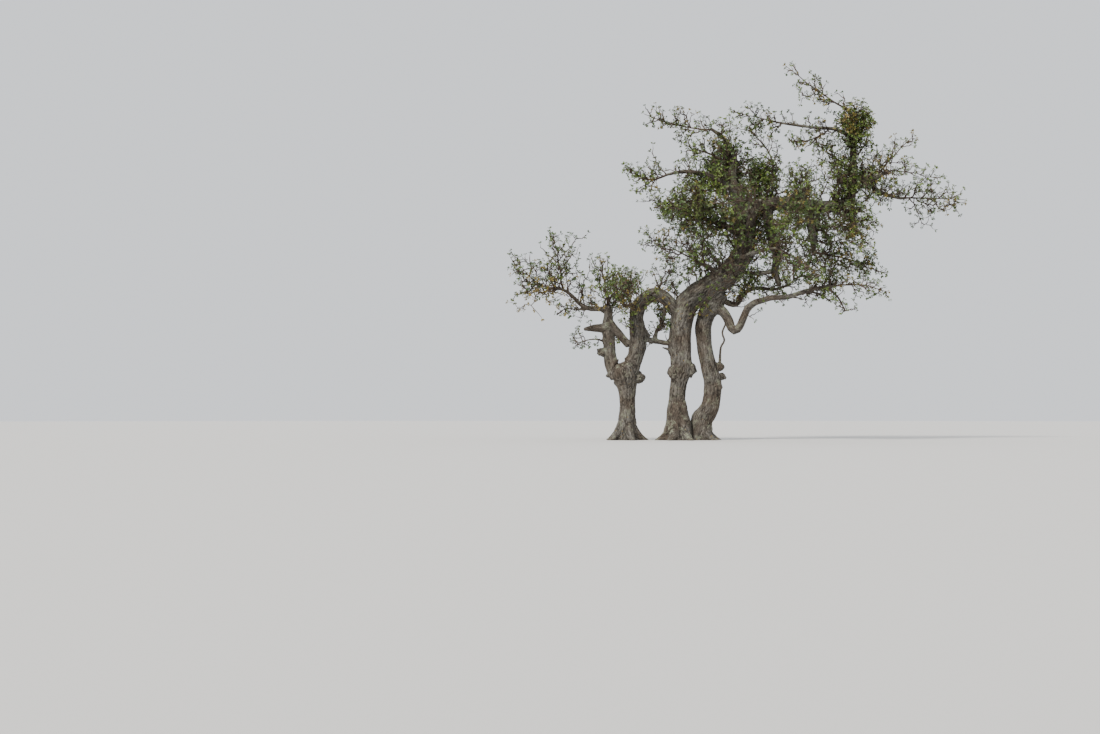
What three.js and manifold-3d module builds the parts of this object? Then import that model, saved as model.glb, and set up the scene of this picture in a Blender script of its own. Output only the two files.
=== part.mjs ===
// A wind-bent hawthorn that stands on three stems from one root crown, thin in leaf.
// Millimetres, +Z up, level ground at Z = 0. The origin is the middle of the main stem's cut foot.
// X runs along the crown's long side and Y through its depth.
// Each stem, each bough and each mass of twigs with leaves is a solid of its own.

import * as THREE from "three";
import { mergeVertices } from "three/addons/utils/BufferGeometryUtils.js";
import Module from "manifold-3d";

const wasm = await Module();
wasm.setup();

// Driving dimensions.
const GAP = 0.4; // clearance between two solids that meet
const GROUND_BLOCK = [4000, 4000, 1000]; // what cuts the roots off at ground level
const LIMB_STEP = 250; // distance between a limb's rings, at most
const BRANCH_SIDES = 5; // of a stub or side limb that is one piece with its limb
const FLUTES = 3; // ridges round a stem
const FLUTE_TWIST = 0.9; // radians that the ridges turn from ring to ring
const ROOT_SIDES = 5;
const ROOT_PROFILE = [[0.06, 330, 0.9], [0.42, 120, 1], [0.7, 30, 0.8], [1, -25, 0.55]]; // out, up, thick

const TWIG_SIDES = 3;
const TWIG_SPANS = 6; // a mass's leading twig has a knee between each span and the next
const ZIGZAG = 13; // how far each knee stands to the side
const ROOT_SUNK = 25; // a leading twig starts this far inside its limb's end
const TWIG_TIP = 3.5; // radius at a twig's tip
const GOLDEN_ANGLE = THREE.MathUtils.degToRad(137.5);
const TURN_SPREAD = THREE.MathUtils.degToRad(34);
const SIDE_ANGLE = THREE.MathUtils.degToRad(58); // side shoot to leading twig
const SIDE_ANGLE_SPREAD = THREE.MathUtils.degToRad(28);
const SIDE_REACH = [0.45, 0.78]; // side shoot's length as a share of the space round it
const SIDE_BEND = 0.16; // how much a side shoot turns up over its length
const SIDE_TAPER = 0.62; // side shoot's root radius as a share of its twig's
const SHOOT_MIN = 5; // least root radius of a side shoot
const SHOOT_PROBES = [0.25, 0.5, 0.75, 1];

const LEAF_LENGTH = 170; // a leaf stands for a spray
const LEAF_WIDTH = 108;
const LEAF_THICKNESS = 6;
const LEAF_WIDEST = 0.52; // along the leaf
const LEAF_RIDGE = 0.2; // where it is thickest, along the leaf
const LEAF_ANGLE = THREE.MathUtils.degToRad(48);
const LEAF_PLACES = [0.55, 0.97]; // along a side shoot

const SPACE_KNOTS = [0.5, 1, 0.92, 0.5]; // a mass's radius at even steps from root to tip, by its spread
const OWN_MARGIN = 14; // a mass stays this far on its own side of the border to the next
const LIMB_MARGIN = 12; // foliage stays this far from the bark of a limb
const LIMB_SWELL = 1.1; // a limb's ridges stand out by this much
const ROOT_FREE = 110; // length at a mass's root where its own bough is not in its way

// The limbs. A point is [x, y, z, radius]. Each limb starts inside the one that bears it, and is
// cut flush with its bark. A branch is a stub, crossing limb or shoot that is one piece with it.
const STEMS = [
  {
    name: "main_trunk",
    sides: 12,
    fluting: 0.07,
    path: [
      [0, 0, -60, 205], [-40, 0, 250, 165], [-45, 5, 560, 112], [-15, 10, 790, 112],
      [22, 15, 980, 142], [12, 10, 1290, 148], [30, 0, 1600, 150], [110, -10, 1860, 165],
      [345, -15, 2045, 168], [640, -5, 2230, 158], [835, 10, 2470, 146], [915, 20, 2740, 134],
      [920, 15, 3035, 122], [940, 5, 3215, 108],
    ],
    roots: [
      { heading: 182, reach: 330, radius: 62 }, { heading: 118, reach: 300, radius: 60 },
      { heading: 62, reach: 250, radius: 58 }, { heading: 238, reach: 330, radius: 66 },
      { heading: 296, reach: 320, radius: 62 },
    ],
    burrs: [
      { at: [140, 5, 955], size: [82, 95, 105] }, { at: [-95, -60, 900], size: [60, 70, 90] },
      { at: [20, 130, 1180], size: [85, 60, 100] }, { at: [560, -120, 2210], size: [110, 70, 90] },
    ],
    branches: [
      [[-90, 0, 1205, 30], [-235, -10, 1248, 9]],
      [[20, 10, 1290, 42], [-140, 10, 1305, 33], [-300, 5, 1330, 34], [-505, 10, 1368, 36]],
      [[-340, 5, 1345, 30], [-310, 0, 1480, 26], [-230, -5, 1610, 24], [-200, -10, 1830, 26]],
    ],
  },
  {
    name: "right_stem",
    sides: 10,
    fluting: 0.06,
    path: [
      [235, 95, -60, 172], [300, 95, 245, 142], [415, 85, 475, 122], [446, 80, 770, 118],
      [385, 70, 1050, 105], [340, 60, 1290, 103], [330, 45, 1550, 112], [405, 25, 1785, 125],
      [540, 5, 1950, 118],
    ],
    roots: [
      { heading: 8, reach: 330, radius: 58 }, { heading: 64, reach: 300, radius: 56 },
      { heading: 322, reach: 310, radius: 58 },
    ],
    burrs: [
      { at: [555, 75, 1000], size: [62, 60, 55] }, { at: [575, 80, 860], size: [50, 62, 48] },
      { at: [500, 20, 700], size: [62, 58, 80] }, { at: [440, 170, 900], size: [80, 55, 95] },
    ],
    branches: [
      [
        [545, 70, 990, 22], [556, 45, 1240, 15], [602, 5, 1345, 14], [570, -30, 1450, 13],
        [622, -72, 1590, 12],
      ],
    ],
  },
  {
    name: "left_stem",
    sides: 10,
    fluting: 0.07,
    path: [
      [-729, 60, -60, 158], [-716, 60, 250, 112], [-714, 55, 480, 108], [-716, 50, 680, 124],
      [-735, 45, 835, 158], [-765, 45, 945, 168],
    ],
    roots: [
      { heading: 0, reach: 300, radius: 54 }, { heading: 75, reach: 270, radius: 52 },
      { heading: 150, reach: 290, radius: 52 }, { heading: 215, reach: 300, radius: 54 },
      { heading: 290, reach: 290, radius: 54 },
    ],
    burrs: [
      { at: [-560, 40, 850], size: [75, 70, 75] }, { at: [-900, 60, 890], size: [85, 80, 60] },
    ],
  },
];

const BOUGHS = [
  { name: "left_fork", sides: 8, path: [
    [-850, 60, 850, 92], [-925, 75, 1020, 90], [-950, 95, 1290, 83], [-968, 115, 1550, 72],
    [-955, 125, 1800, 52]],
    burrs: [{ at: [-1045, 85, 1190], size: [70, 66, 60] }],
    branches: [
      [[-945, 95, 1300, 17], [-1080, 75, 1355, 13], [-1210, 60, 1360, 10], [-1380, 40, 1310, 6]],
      [[-950, 95, 1515, 60], [-1150, 70, 1515, 50], [-1285, 55, 1500, 24]],
      [[-955, 95, 1600, 54], [-815, 60, 1430, 54], [-700, 35, 1290, 50]],
    ] },
  { name: "inner_fork", sides: 8, path: [
    [-700, 40, 850, 122], [-625, 25, 1050, 108], [-562, 10, 1270, 112], [-575, -5, 1460, 106],
    [-590, -10, 1650, 94], [-560, -10, 1800, 92]],
    branches: [[[-570, -5, 1600, 36], [-500, -15, 1515, 30], [-420, 0, 1400, 28]]] },
  { name: "arch_bough", sides: 8, path: [
    [-575, -10, 1770, 88], [-475, -15, 1905, 96], [-310, -15, 1962, 98], [-160, -10, 1880, 90],
    [-20, 0, 1700, 76]] },
  { name: "left_bough", sides: 7, path: [
    [-950, 120, 1780, 38], [-1210, 60, 1780, 32], [-1350, 10, 1840, 28], [-1450, -40, 1940, 25],
    [-1570, -90, 2020, 21], [-1700, -130, 2040, 16]],
    branches: [
      [[-1210, 60, 1775, 15], [-1380, 30, 1765, 12], [-1540, 0, 1775, 9], [-1665, -20, 1690, 6]],
    ] },
  { name: "hooked_bough", sides: 8, path: [
    [450, 10, 1800, 74], [570, -55, 1735, 68], [650, -100, 1610, 62], [678, -135, 1510, 58],
    [725, -155, 1468, 55], [785, -175, 1520, 52], [835, -195, 1640, 50], [890, -215, 1760, 48],
    [985, -235, 1840, 44], [1070, -250, 1865, 41]] },
  { name: "lower_bough", sides: 8, path: [
    [1020, -240, 1850, 42], [1200, -270, 1900, 38], [1410, -320, 1910, 35], [1640, -380, 1980, 28],
    [1840, -430, 2030, 22], [2020, -460, 2040, 17]],
    branches: [
      [[1890, -440, 2040, 20], [2050, -450, 1900, 15], [2150, -450, 1710, 8]],
      [[1640, -375, 1975, 16], [1820, -340, 1950, 12], [1990, -320, 1840, 7]],
    ] },
  { name: "middle_bough", sides: 7, path: [
    [540, 30, 1910, 48], [770, 120, 1840, 36], [900, 200, 2000, 32], [1080, 300, 2080, 27],
    [1340, 420, 2070, 22], [1570, 520, 2150, 17]] },
  { name: "upper_limb", sides: 9, path: [
    [925, 10, 3060, 112], [1130, 0, 3180, 98], [1485, -10, 3200, 90], [1823, -5, 3160, 85],
    [2130, 10, 3175, 76], [2300, 15, 3245, 66]],
    branches: [
      [[1260, 30, 3220, 22], [1275, 90, 3740, 14], [1220, 140, 3940, 11], [1110, 190, 4100, 9],
        [990, 240, 4260, 5]],
    ] },
  { name: "right_leader", sides: 8, path: [
    [2290, 15, 3200, 66], [2335, 20, 3380, 62], [2365, 30, 3650, 55], [2360, 30, 3920, 44],
    [2390, 0, 4180, 32], [2420, -30, 4400, 21]] },
  { name: "upper_left_limb", sides: 8, path: [
    [890, 0, 3080, 86], [770, -20, 3290, 76], [710, -30, 3530, 66], [740, 10, 3770, 50],
    [700, 60, 3950, 38], [610, 110, 4120, 29], [450, 180, 4250, 22]] },
  { name: "left_crown_bough", sides: 7, path: [
    [770, -25, 3340, 50], [550, -120, 3480, 42], [320, -200, 3570, 34], [30, -280, 3590, 26],
    [-210, -330, 3540, 18]] },
  { name: "left_middle_bough", sides: 7, path: [
    [830, 20, 2770, 56], [640, 130, 2910, 44], [440, 240, 3000, 32], [300, 320, 3060, 24]] },
  { name: "left_lower_bough", sides: 7, path: [
    [560, -20, 2200, 40], [390, -130, 2320, 31], [210, -240, 2390, 23]] },
  { name: "hanging_limb", sides: 8, path: [
    [1180, 0, 3150, 78], [1236, 30, 2820, 70], [1318, 40, 2550, 60], [1300, 20, 2290, 48],
    [1340, -40, 2090, 34]] },
  { name: "brace_limb", sides: 7, path: [
    [760, 20, 2290, 36], [960, 60, 2262, 30], [1150, 60, 2265, 28], [1290, 30, 2290, 26]] },
  { name: "drooping_bough", sides: 7, path: [
    [1790, -5, 3130, 112], [1806, -30, 2920, 96], [1800, -50, 2700, 50], [1810, -60, 2500, 28]] },
  { name: "right_upper_bough", sides: 7, path: [
    [2350, 28, 3540, 54], [2530, -60, 3530, 46], [2680, -160, 3550, 34], [2770, -230, 3620, 24]] },
  { name: "right_lower_bough", sides: 7, path: [
    [2480, -30, 3540, 36], [2670, 100, 3420, 33], [2840, 190, 3350, 28], [3070, 280, 3310, 20]] },
  { name: "top_left_bough", sides: 7, path: [
    [2380, 20, 4070, 30], [2160, 120, 4230, 26], [1860, 220, 4280, 21], [1530, 300, 4340, 17],
    [1330, 330, 4380, 13]] },
  { name: "front_bough", sides: 7, path: [
    [915, -20, 2800, 66], [940, -330, 2960, 46], [960, -640, 3060, 32], [965, -920, 3115, 19]] },
  { name: "back_bough", sides: 7, path: [
    [915, 40, 2900, 66], [930, 350, 3180, 46], [940, 660, 3390, 32], [950, 940, 3520, 19]] },
  { name: "front_right_bough", sides: 7, path: [
    [1500, -30, 3210, 58], [1560, -310, 3300, 40], [1610, -600, 3310, 28], [1632, -880, 3270, 17]] },
  { name: "back_right_bough", sides: 7, path: [
    [1950, 20, 3175, 54], [2090, 300, 3200, 38], [2240, 580, 3180, 27], [2390, 860, 3150, 17]] },
  { name: "front_lower_bough", sides: 7, path: [
    [760, -30, 2400, 50], [920, -320, 2480, 36], [1070, -600, 2510, 25], [1205, -850, 2500, 16]] },
  { name: "back_lower_bough", sides: 7, path: [
    [600, 30, 2230, 50], [590, 330, 2380, 36], [585, 610, 2480, 26], [580, 880, 2545, 17]] },
];

// The masses of twigs. A mass grows from its limb's end, or from a root on its side, to its tip,
// and bows up or down on the way. Its spread is the radius of the free space round its middle.
const MASSES = [
  { name: "left_tip_twigs", on: "left_bough",
    tip: [-2240, -220, 2450], bow: -100, spread: 310, thick: 13, seed: 11 },
  { name: "left_rising_twigs", on: "left_bough", root: [-1575, -90, 2022],
    tip: [-1700, 60, 2770], bow: 20, spread: 280, thick: 15, seed: 52 },
  { name: "left_fork_twigs", on: "left_fork",
    tip: [-1080, 20, 2490], bow: 20, spread: 290, thick: 26, seed: 14 },
  { name: "left_back_twigs", on: "left_fork", root: [-950, 120, 1720],
    tip: [-650, 940, 2300], bow: 20, spread: 320, thick: 20, seed: 15 },
  { name: "left_front_twigs", on: "inner_fork", root: [-590, -10, 1660],
    tip: [-900, -820, 2100], bow: 45, spread: 320, thick: 20, seed: 16 },
  { name: "arch_twigs", on: "arch_bough", root: [-310, -15, 1960],
    tip: [-150, 160, 2380], bow: 10, spread: 230, thick: 14, seed: 17 },
  { name: "lower_left_twigs", on: "left_lower_bough",
    tip: [-410, -480, 2670], bow: 10, spread: 360, thick: 13, seed: 18 },
  { name: "lower_left_back_twigs", on: "back_lower_bough",
    tip: [330, 1180, 2960], bow: 0, spread: 370, thick: 15, seed: 19 },
  { name: "left_middle_twigs", on: "left_middle_bough", root: [500, 210, 2975],
    tip: [-130, 590, 3270], bow: 20, spread: 350, thick: 15, seed: 20 },
  { name: "left_crown_twigs", on: "left_crown_bough",
    tip: [-750, -420, 3660], bow: -110, spread: 240, thick: 15, seed: 21 },
  { name: "left_shoulder_twigs", on: "left_crown_bough", root: [520, -132, 3490],
    tip: [-200, -640, 3030], bow: -40, spread: 370, thick: 18, seed: 22 },
  { name: "upper_left_tip_twigs", on: "upper_left_limb",
    tip: [-450, 400, 4500], bow: -40, spread: 260, thick: 13, seed: 23 },
  { name: "upper_left_knob_twigs", on: "upper_left_limb", root: [722, 0, 3700],
    tip: [120, -300, 3900], bow: 40, spread: 310, thick: 26, seed: 24 },
  { name: "heart_twigs", on: "upper_left_limb", root: [712, -30, 3530],
    tip: [600, 700, 3740], bow: 0, spread: 350, thick: 26, seed: 25 },
  { name: "middle_top_twigs", on: "upper_limb", root: [1300, -5, 3200],
    tip: [1060, 380, 3680], bow: 60, spread: 310, thick: 20, seed: 26 },
  { name: "upper_limb_twigs", on: "upper_limb", root: [1650, -5, 3185],
    tip: [1540, -560, 3540], bow: 30, spread: 310, thick: 20, seed: 27 },
  { name: "top_left_twigs", on: "top_left_bough",
    tip: [810, 360, 4520], bow: 0, spread: 200, thick: 11, seed: 28 },
  { name: "top_middle_twigs", on: "top_left_bough", root: [2070, 150, 4248],
    tip: [1450, -300, 4000], bow: -60, spread: 230, thick: 13, seed: 29 },
  { name: "top_tip_twigs", on: "right_leader",
    tip: [1430, -90, 5060], bow: -20, spread: 210, thick: 16, seed: 30 },
  { name: "right_leader_twigs", on: "right_leader", root: [2362, 30, 3870],
    tip: [2320, -400, 4450], bow: -20, spread: 290, thick: 20, seed: 31 },
  { name: "leader_left_twigs", on: "right_leader", root: [2365, 30, 3650],
    tip: [1990, 480, 4060], bow: 0, spread: 290, thick: 20, seed: 32 },
  { name: "right_upper_twigs", on: "right_upper_bough", root: [2640, -135, 3540],
    tip: [3090, -340, 4050], bow: 30, spread: 310, thick: 13, seed: 33 },
  { name: "right_tip_twigs", on: "right_lower_bough",
    tip: [3970, 400, 3310], bow: 10, spread: 340, thick: 13, seed: 34 },
  { name: "right_middle_twigs", on: "upper_limb", root: [2285, 15, 3235],
    tip: [2390, -440, 2600], bow: 20, spread: 310, thick: 24, seed: 36 },
  { name: "right_lower_twigs", on: "drooping_bough",
    tip: [2720, 360, 2330], bow: 40, spread: 330, thick: 19, seed: 37 },
  { name: "lower_bough_twigs", on: "lower_bough",
    tip: [2700, -500, 1960], bow: 50, spread: 240, thick: 13, seed: 38 },
  { name: "middle_lower_twigs", on: "middle_bough",
    tip: [2090, 800, 2570], bow: 0, spread: 300, thick: 13, seed: 43 },
  { name: "front_twigs", on: "front_bough",
    tip: [450, -1280, 3020], bow: 20, spread: 370, thick: 16, seed: 39 },
  { name: "back_twigs", on: "back_bough",
    tip: [1400, 1330, 3780], bow: 0, spread: 370, thick: 16, seed: 140 },
  { name: "front_right_twigs", on: "front_right_bough",
    tip: [1240, -1150, 2710], bow: 40, spread: 360, thick: 15, seed: 41 },
  { name: "back_right_twigs", on: "back_right_bough",
    tip: [2790, 1220, 3010], bow: 30, spread: 350, thick: 15, seed: 144 },
  { name: "front_lower_twigs", on: "front_lower_bough",
    tip: [1620, -1100, 2190], bow: 20, spread: 350, thick: 14, seed: 142 },
];

// A pseudo-random stream of its own for each mass, so that the same seed grows the same twigs.
function randomStream(seed) {
  let state = seed >>> 0;
  return () => {
    state = (state + 0x6d2b79f5) >>> 0;
    let t = Math.imul(state ^ (state >>> 15), 1 | state);
    t = (t + Math.imul(t ^ (t >>> 7), 61 | t)) ^ t;
    return ((t ^ (t >>> 14)) >>> 0) / 4294967296;
  };
}

const vector = (x, y, z) => new THREE.Vector3(x, y, z);
const pointOf = ([x, y, z]) => vector(x, y, z);
const curveOf = (path) => new THREE.CatmullRomCurve3(path.map(pointOf), false, "catmullrom", 0.5);

// The ring at a place along a path, from 0 at its first point to 1 at its last. A point's fourth
// number is the radius there.
function ringAt(path, curve, share) {
  const place = share * (path.length - 1);
  const k = Math.min(Math.floor(place), path.length - 2);
  const radius = THREE.MathUtils.lerp(path[k][3], path[k + 1][3], place - k);
  return { at: curve.getPoint(share), radius };
}

// A smooth line through a path's points, in steps of about one length.
function smoothPath(path, step) {
  const curve = curveOf(path);
  const rings = [];
  for (let i = 0; i + 1 < path.length; i++) {
    const length = pointOf(path[i]).distanceTo(pointOf(path[i + 1]));
    const count = Math.max(1, Math.round(length / step));
    for (let k = 0; k < count; k++) rings.push(ringAt(path, curve, (i + k / count) / (path.length - 1)));
  }
  rings.push(ringAt(path, curve, 1));
  return rings;
}

// The same line in a number of even spans.
function evenPath(path, spans) {
  const curve = curveOf(path);
  return Array.from({ length: spans + 1 }, (_, i) => ringAt(path, curve, i / spans));
}

function tangentAt(rings, i) {
  const before = rings[Math.max(0, i - 1)].at;
  const after = rings[Math.min(rings.length - 1, i + 1)].at;
  return after.clone().sub(before).normalize();
}

// A unit vector square to the direction, level where it can be.
function sidewaysOf(direction) {
  const side = vector(0, 0, 1).cross(direction);
  return side.length() < 0.2 ? vector(1, 0, 0).cross(direction).normalize() : side.normalize();
}

// The direction that leaves along by an angle, on the side that a turn round it gives.
function leaving(along, turn, angle) {
  const side = sidewaysOf(along);
  const across = along.clone().cross(side);
  const out = side.multiplyScalar(Math.cos(turn)).addScaledVector(across, Math.sin(turn));
  return along.clone().multiplyScalar(Math.cos(angle)).addScaledVector(out, Math.sin(angle));
}

// A closed tapering tube through the rings: a cylinder whose every ring is moved to its place.
function tubeGeometry(rings, sides, fluting = 0, grow = 0) {
  const spans = rings.length - 1;
  const geometry = new THREE.CylinderGeometry(1, 1, 1, sides, spans);
  const places = geometry.getAttribute("position");
  const frames = [];
  let side = sidewaysOf(tangentAt(rings, 0));
  for (let i = 0; i <= spans; i++) {
    const along = tangentAt(rings, i);
    side = side.clone().addScaledVector(along, -side.dot(along)).normalize();
    frames.push({ along, side, across: along.clone().cross(side) });
  }
  for (let v = 0; v < places.count; v++) {
    const i = Math.round((0.5 + places.getY(v)) * spans);
    const [u, w] = [places.getX(v), places.getZ(v)];
    const { along, side: outward, across } = frames[i];
    const ridge = 1 + fluting * Math.cos(FLUTES * Math.atan2(w, u) + FLUTE_TWIST * i);
    const radius = rings[i].radius * ridge + grow;
    const place = rings[i].at.clone().addScaledVector(outward, w * radius);
    place.addScaledVector(across, u * radius);
    if (i === spans) place.addScaledVector(along, grow);
    places.setXYZ(v, place.x, place.y, place.z);
  }
  return geometry;
}

function solidFrom(geometry) {
  const bare = geometry.clone();
  bare.deleteAttribute("normal");
  bare.deleteAttribute("uv");
  const merged = mergeVertices(bare, 1e-3);
  const vertProperties = merged.attributes.position.array;
  const triVerts = new Uint32Array(merged.index.array);
  return new wasm.Manifold(new wasm.Mesh({ numProp: 3, vertProperties, triVerts }));
}

// The largest of a solid's separate pieces: loose scraps and sealed hollows are dropped.
function largestPiece(solid) {
  return solid.decompose().reduce((best, piece) => (piece.volume() > best.volume() ? piece : best));
}

function geometryOf(solid) {
  const mesh = solid.getMesh();
  const places = new Float32Array(mesh.numVert * 3);
  for (let v = 0; v < mesh.numVert; v++) {
    const from = v * mesh.numProp;
    places.set(mesh.vertProperties.subarray(from, from + 3), v * 3);
  }
  const geometry = new THREE.BufferGeometry();
  geometry.setAttribute("position", new THREE.BufferAttribute(places, 3));
  geometry.setIndex(new THREE.BufferAttribute(new Uint32Array(mesh.triVerts), 1));
  geometry.computeVertexNormals();
  return geometry;
}

function burrSolid({ at, size }, grow) {
  const geometry = new THREE.IcosahedronGeometry(1, 0);
  geometry.scale(size[0] + grow, size[1] + grow, size[2] + grow);
  geometry.translate(...at);
  return solidFrom(geometry);
}

// A buttress root: a low limb that leaves the stem's foot and dips under the ground's level.
function rootSolid({ heading, reach, radius }, foot, grow) {
  const turn = THREE.MathUtils.degToRad(heading);
  const out = vector(Math.cos(turn), Math.sin(turn), 0);
  const rings = ROOT_PROFILE.map(([distance, height, thick]) => ({
    at: foot.clone().addScaledVector(out, distance * reach).setZ(height),
    radius: thick * radius,
  }));
  return solidFrom(tubeGeometry(rings, ROOT_SIDES, 0, grow));
}

function belowGround() {
  const box = new THREE.BoxGeometry(...GROUND_BLOCK);
  box.translate(0, 0, -GROUND_BLOCK[2] / 2);
  return solidFrom(box);
}

function limbSolid(limb, grow) {
  let solid = solidFrom(tubeGeometry(smoothPath(limb.path, LIMB_STEP), limb.sides, limb.fluting, grow));
  for (const burr of limb.burrs ?? []) solid = solid.add(burrSolid(burr, grow));
  const foot = pointOf(limb.path[0]);
  for (const root of limb.roots ?? []) solid = solid.add(rootSolid(root, foot, grow));
  for (const branch of limb.branches ?? []) {
    solid = solid.add(solidFrom(tubeGeometry(smoothPath(branch, LIMB_STEP), BRANCH_SIDES, 0, grow)));
  }
  return limb.roots ? solid.subtract(belowGround()) : solid;
}

function boxesMeet(a, b) {
  const [p, q] = [a.boundingBox(), b.boundingBox()];
  return [0, 1, 2].every((i) => p.min[i] <= q.max[i] && q.min[i] <= p.max[i]);
}

// What is left of a solid clear of the limbs that are there already.
function clearedOf(solid, limbs) {
  return limbs.reduce((rest, { grown }) => (boxesMeet(rest, grown) ? rest.subtract(grown) : rest), solid);
}

const bark = new THREE.MeshStandardMaterial({ color: 0x54483d, roughness: 0.95, metalness: 0 });
const foliage = new THREE.MeshStandardMaterial({ color: 0x4a5228, roughness: 0.8, metalness: 0 });
const tree = new THREE.Group();
tree.name = "hawthorn";

function addNode(name, solid, material) {
  const mesh = new THREE.Mesh(geometryOf(largestPiece(solid)), material);
  mesh.name = name;
  tree.add(mesh);
}

// The limbs, in order: each is cut by all that were made before it.
const limbs = [];
for (const limb of [...STEMS, ...BOUGHS]) {
  addNode(limb.name, clearedOf(limbSolid(limb, 0), limbs), bark);
  const lines = [limb.path, ...(limb.branches ?? [])].map((path) => smoothPath(path, LIMB_STEP / 4));
  limbs.push({ name: limb.name, path: limb.path, grown: limbSolid(limb, GAP), rings: lines.flat() });
}

// A mass's path: from its root to its tip in even steps, bowed, with the radius of its space.
function massPath({ on, root, tip, bow, spread }) {
  const [inner, end] = limbs.find((limb) => limb.name === on).path.slice(-2).map(pointOf);
  const start = root ? pointOf(root) : end.clone().add(inner.sub(end).setLength(ROOT_SUNK));
  const last = SPACE_KNOTS.length - 1;
  return SPACE_KNOTS.map((share, i) => {
    const at = start.clone().lerp(pointOf(tip), i / last);
    if (i > 0 && i < last) at.z += bow;
    return [at.x, at.y, at.z, share * spread];
  });
}

// Each mass's own space is the balls round its path.
for (const mass of MASSES) {
  mass.path = massPath(mass);
  mass.space = evenPath(mass.path, 2 * TWIG_SPANS);
}

const depthIn = (space, point) => Math.min(...space.map((ball) => ball.at.distanceTo(point) - ball.radius));

function insideOwnSpace(mass, point) {
  const depth = depthIn(mass.space, point);
  if (depth > 0) return false;
  return MASSES.every((other) => other === mass || depthIn(other.space, point) > depth + 2 * OWN_MARGIN);
}

function clearOfLimbs(mass, point) {
  const nearRoot = point.distanceTo(mass.space[0].at) < ROOT_FREE;
  return limbs.every(({ name, rings }) => {
    if (name === mass.on && nearRoot) return true;
    return rings.every((ring) => ring.at.distanceTo(point) > ring.radius * LIMB_SWELL + LIMB_MARGIN);
  });
}

const isFree = (mass, points) => points.every((p) => insideOwnSpace(mass, p) && clearOfLimbs(mass, p));

// The leading twig: the mass's path in steps, with a knee to one side and the other.
function leadingTwig(mass, random) {
  const rings = evenPath(mass.path, TWIG_SPANS);
  return rings.map((ring, i) => {
    const along = tangentAt(rings, i);
    const side = sidewaysOf(along);
    const across = along.clone().cross(side);
    const lean = i === 0 || i === TWIG_SPANS ? 0 : ZIGZAG;
    const at = ring.at.clone().addScaledVector(side, i % 2 ? lean : -lean);
    at.addScaledVector(across, (random() - 0.5) * lean);
    return { at, radius: THREE.MathUtils.lerp(mass.thick, TWIG_TIP, i / TWIG_SPANS), space: ring.radius };
  });
}

// The side shoot of the leading twig's knee i: each turns on round the twig by the golden angle.
function sideShoot(leader, i, random) {
  const turn = i * GOLDEN_ANGLE + (random() - 0.5) * TURN_SPREAD;
  const angle = SIDE_ANGLE + (random() - 0.5) * SIDE_ANGLE_SPREAD;
  const heading = leaving(tangentAt(leader, i), turn, angle);
  const reach = leader[i].space * THREE.MathUtils.lerp(...SIDE_REACH, random());
  const root = Math.max(SHOOT_MIN, leader[i].radius * SIDE_TAPER);
  const place = (share) => {
    const at = leader[i].at.clone().addScaledVector(heading, reach * share);
    at.z += reach * SIDE_BEND * share * share;
    return at;
  };
  return { heading, place, rings: [{ at: place(0), radius: root }, { at: place(1), radius: TWIG_TIP }] };
}

// A leaf of eight faces, with its root sunk in the twig.
function leafGeometry(root, direction, roll) {
  const geometry = new THREE.OctahedronGeometry(1, 0);
  const places = geometry.getAttribute("position");
  const flat = leaving(direction, roll, Math.PI / 2);
  const normal = direction.clone().cross(flat);
  for (let v = 0; v < places.count; v++) {
    const [l, w, t] = [places.getX(v), places.getY(v), places.getZ(v)];
    const along = Math.abs(w) > 0.5 ? LEAF_WIDEST : Math.abs(t) > 0.5 ? LEAF_RIDGE : (l + 1) / 2;
    const place = root.clone().addScaledVector(direction, along * LEAF_LENGTH);
    place.addScaledVector(flat, (w * LEAF_WIDTH) / 2).addScaledVector(normal, (t * LEAF_THICKNESS) / 2);
    places.setXYZ(v, place.x, place.y, place.z);
  }
  return geometry;
}

// Points of a leaf that are tried against the mass's space and the limbs.
function leafProbes(geometry) {
  const places = geometry.getAttribute("position");
  const corners = Array.from({ length: places.count }, (_, v) => vector().fromBufferAttribute(places, v));
  const middle = corners.reduce((sum, p) => sum.add(p), vector(0, 0, 0)).divideScalar(corners.length);
  return [...corners, ...corners.map((p) => p.clone().lerp(middle, 0.5)), middle];
}

function massSolid(mass) {
  const random = randomStream(mass.seed);
  const leader = leadingTwig(mass, random);
  const pieces = [tubeGeometry(leader, TWIG_SIDES)];
  const addLeaf = (root, along, turn) => {
    const leaf = leafGeometry(root, leaving(along, turn, LEAF_ANGLE), random() * Math.PI);
    if (isFree(mass, leafProbes(leaf))) pieces.push(leaf);
  };
  for (let knee = 1; knee < TWIG_SPANS; knee++) {
    const shoot = sideShoot(leader, knee, random);
    const turns = LEAF_PLACES.map((_, k) => (random() + k) * Math.PI);
    if (isFree(mass, SHOOT_PROBES.map(shoot.place))) {
      pieces.push(tubeGeometry(shoot.rings, TWIG_SIDES));
      LEAF_PLACES.forEach((share, k) => addLeaf(shoot.place(share), shoot.heading, turns[k]));
    } else {
      addLeaf(leader[knee].at, tangentAt(leader, knee), turns[0]);
    }
  }
  addLeaf(leader[TWIG_SPANS].at, tangentAt(leader, TWIG_SPANS), random() * Math.PI);
  return clearedOf(pieces.map(solidFrom).reduce((whole, piece) => whole.add(piece)), limbs);
}

for (const mass of MASSES) addNode(mass.name, massSolid(mass), foliage);

export default tree;
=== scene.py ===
"""A wind-bent hawthorn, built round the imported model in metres: bark, boughs, twigs, thorns and leaves."""

import math

import bmesh
import bpy
import numpy as np
from mathutils import Matrix, Vector, noise


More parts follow.
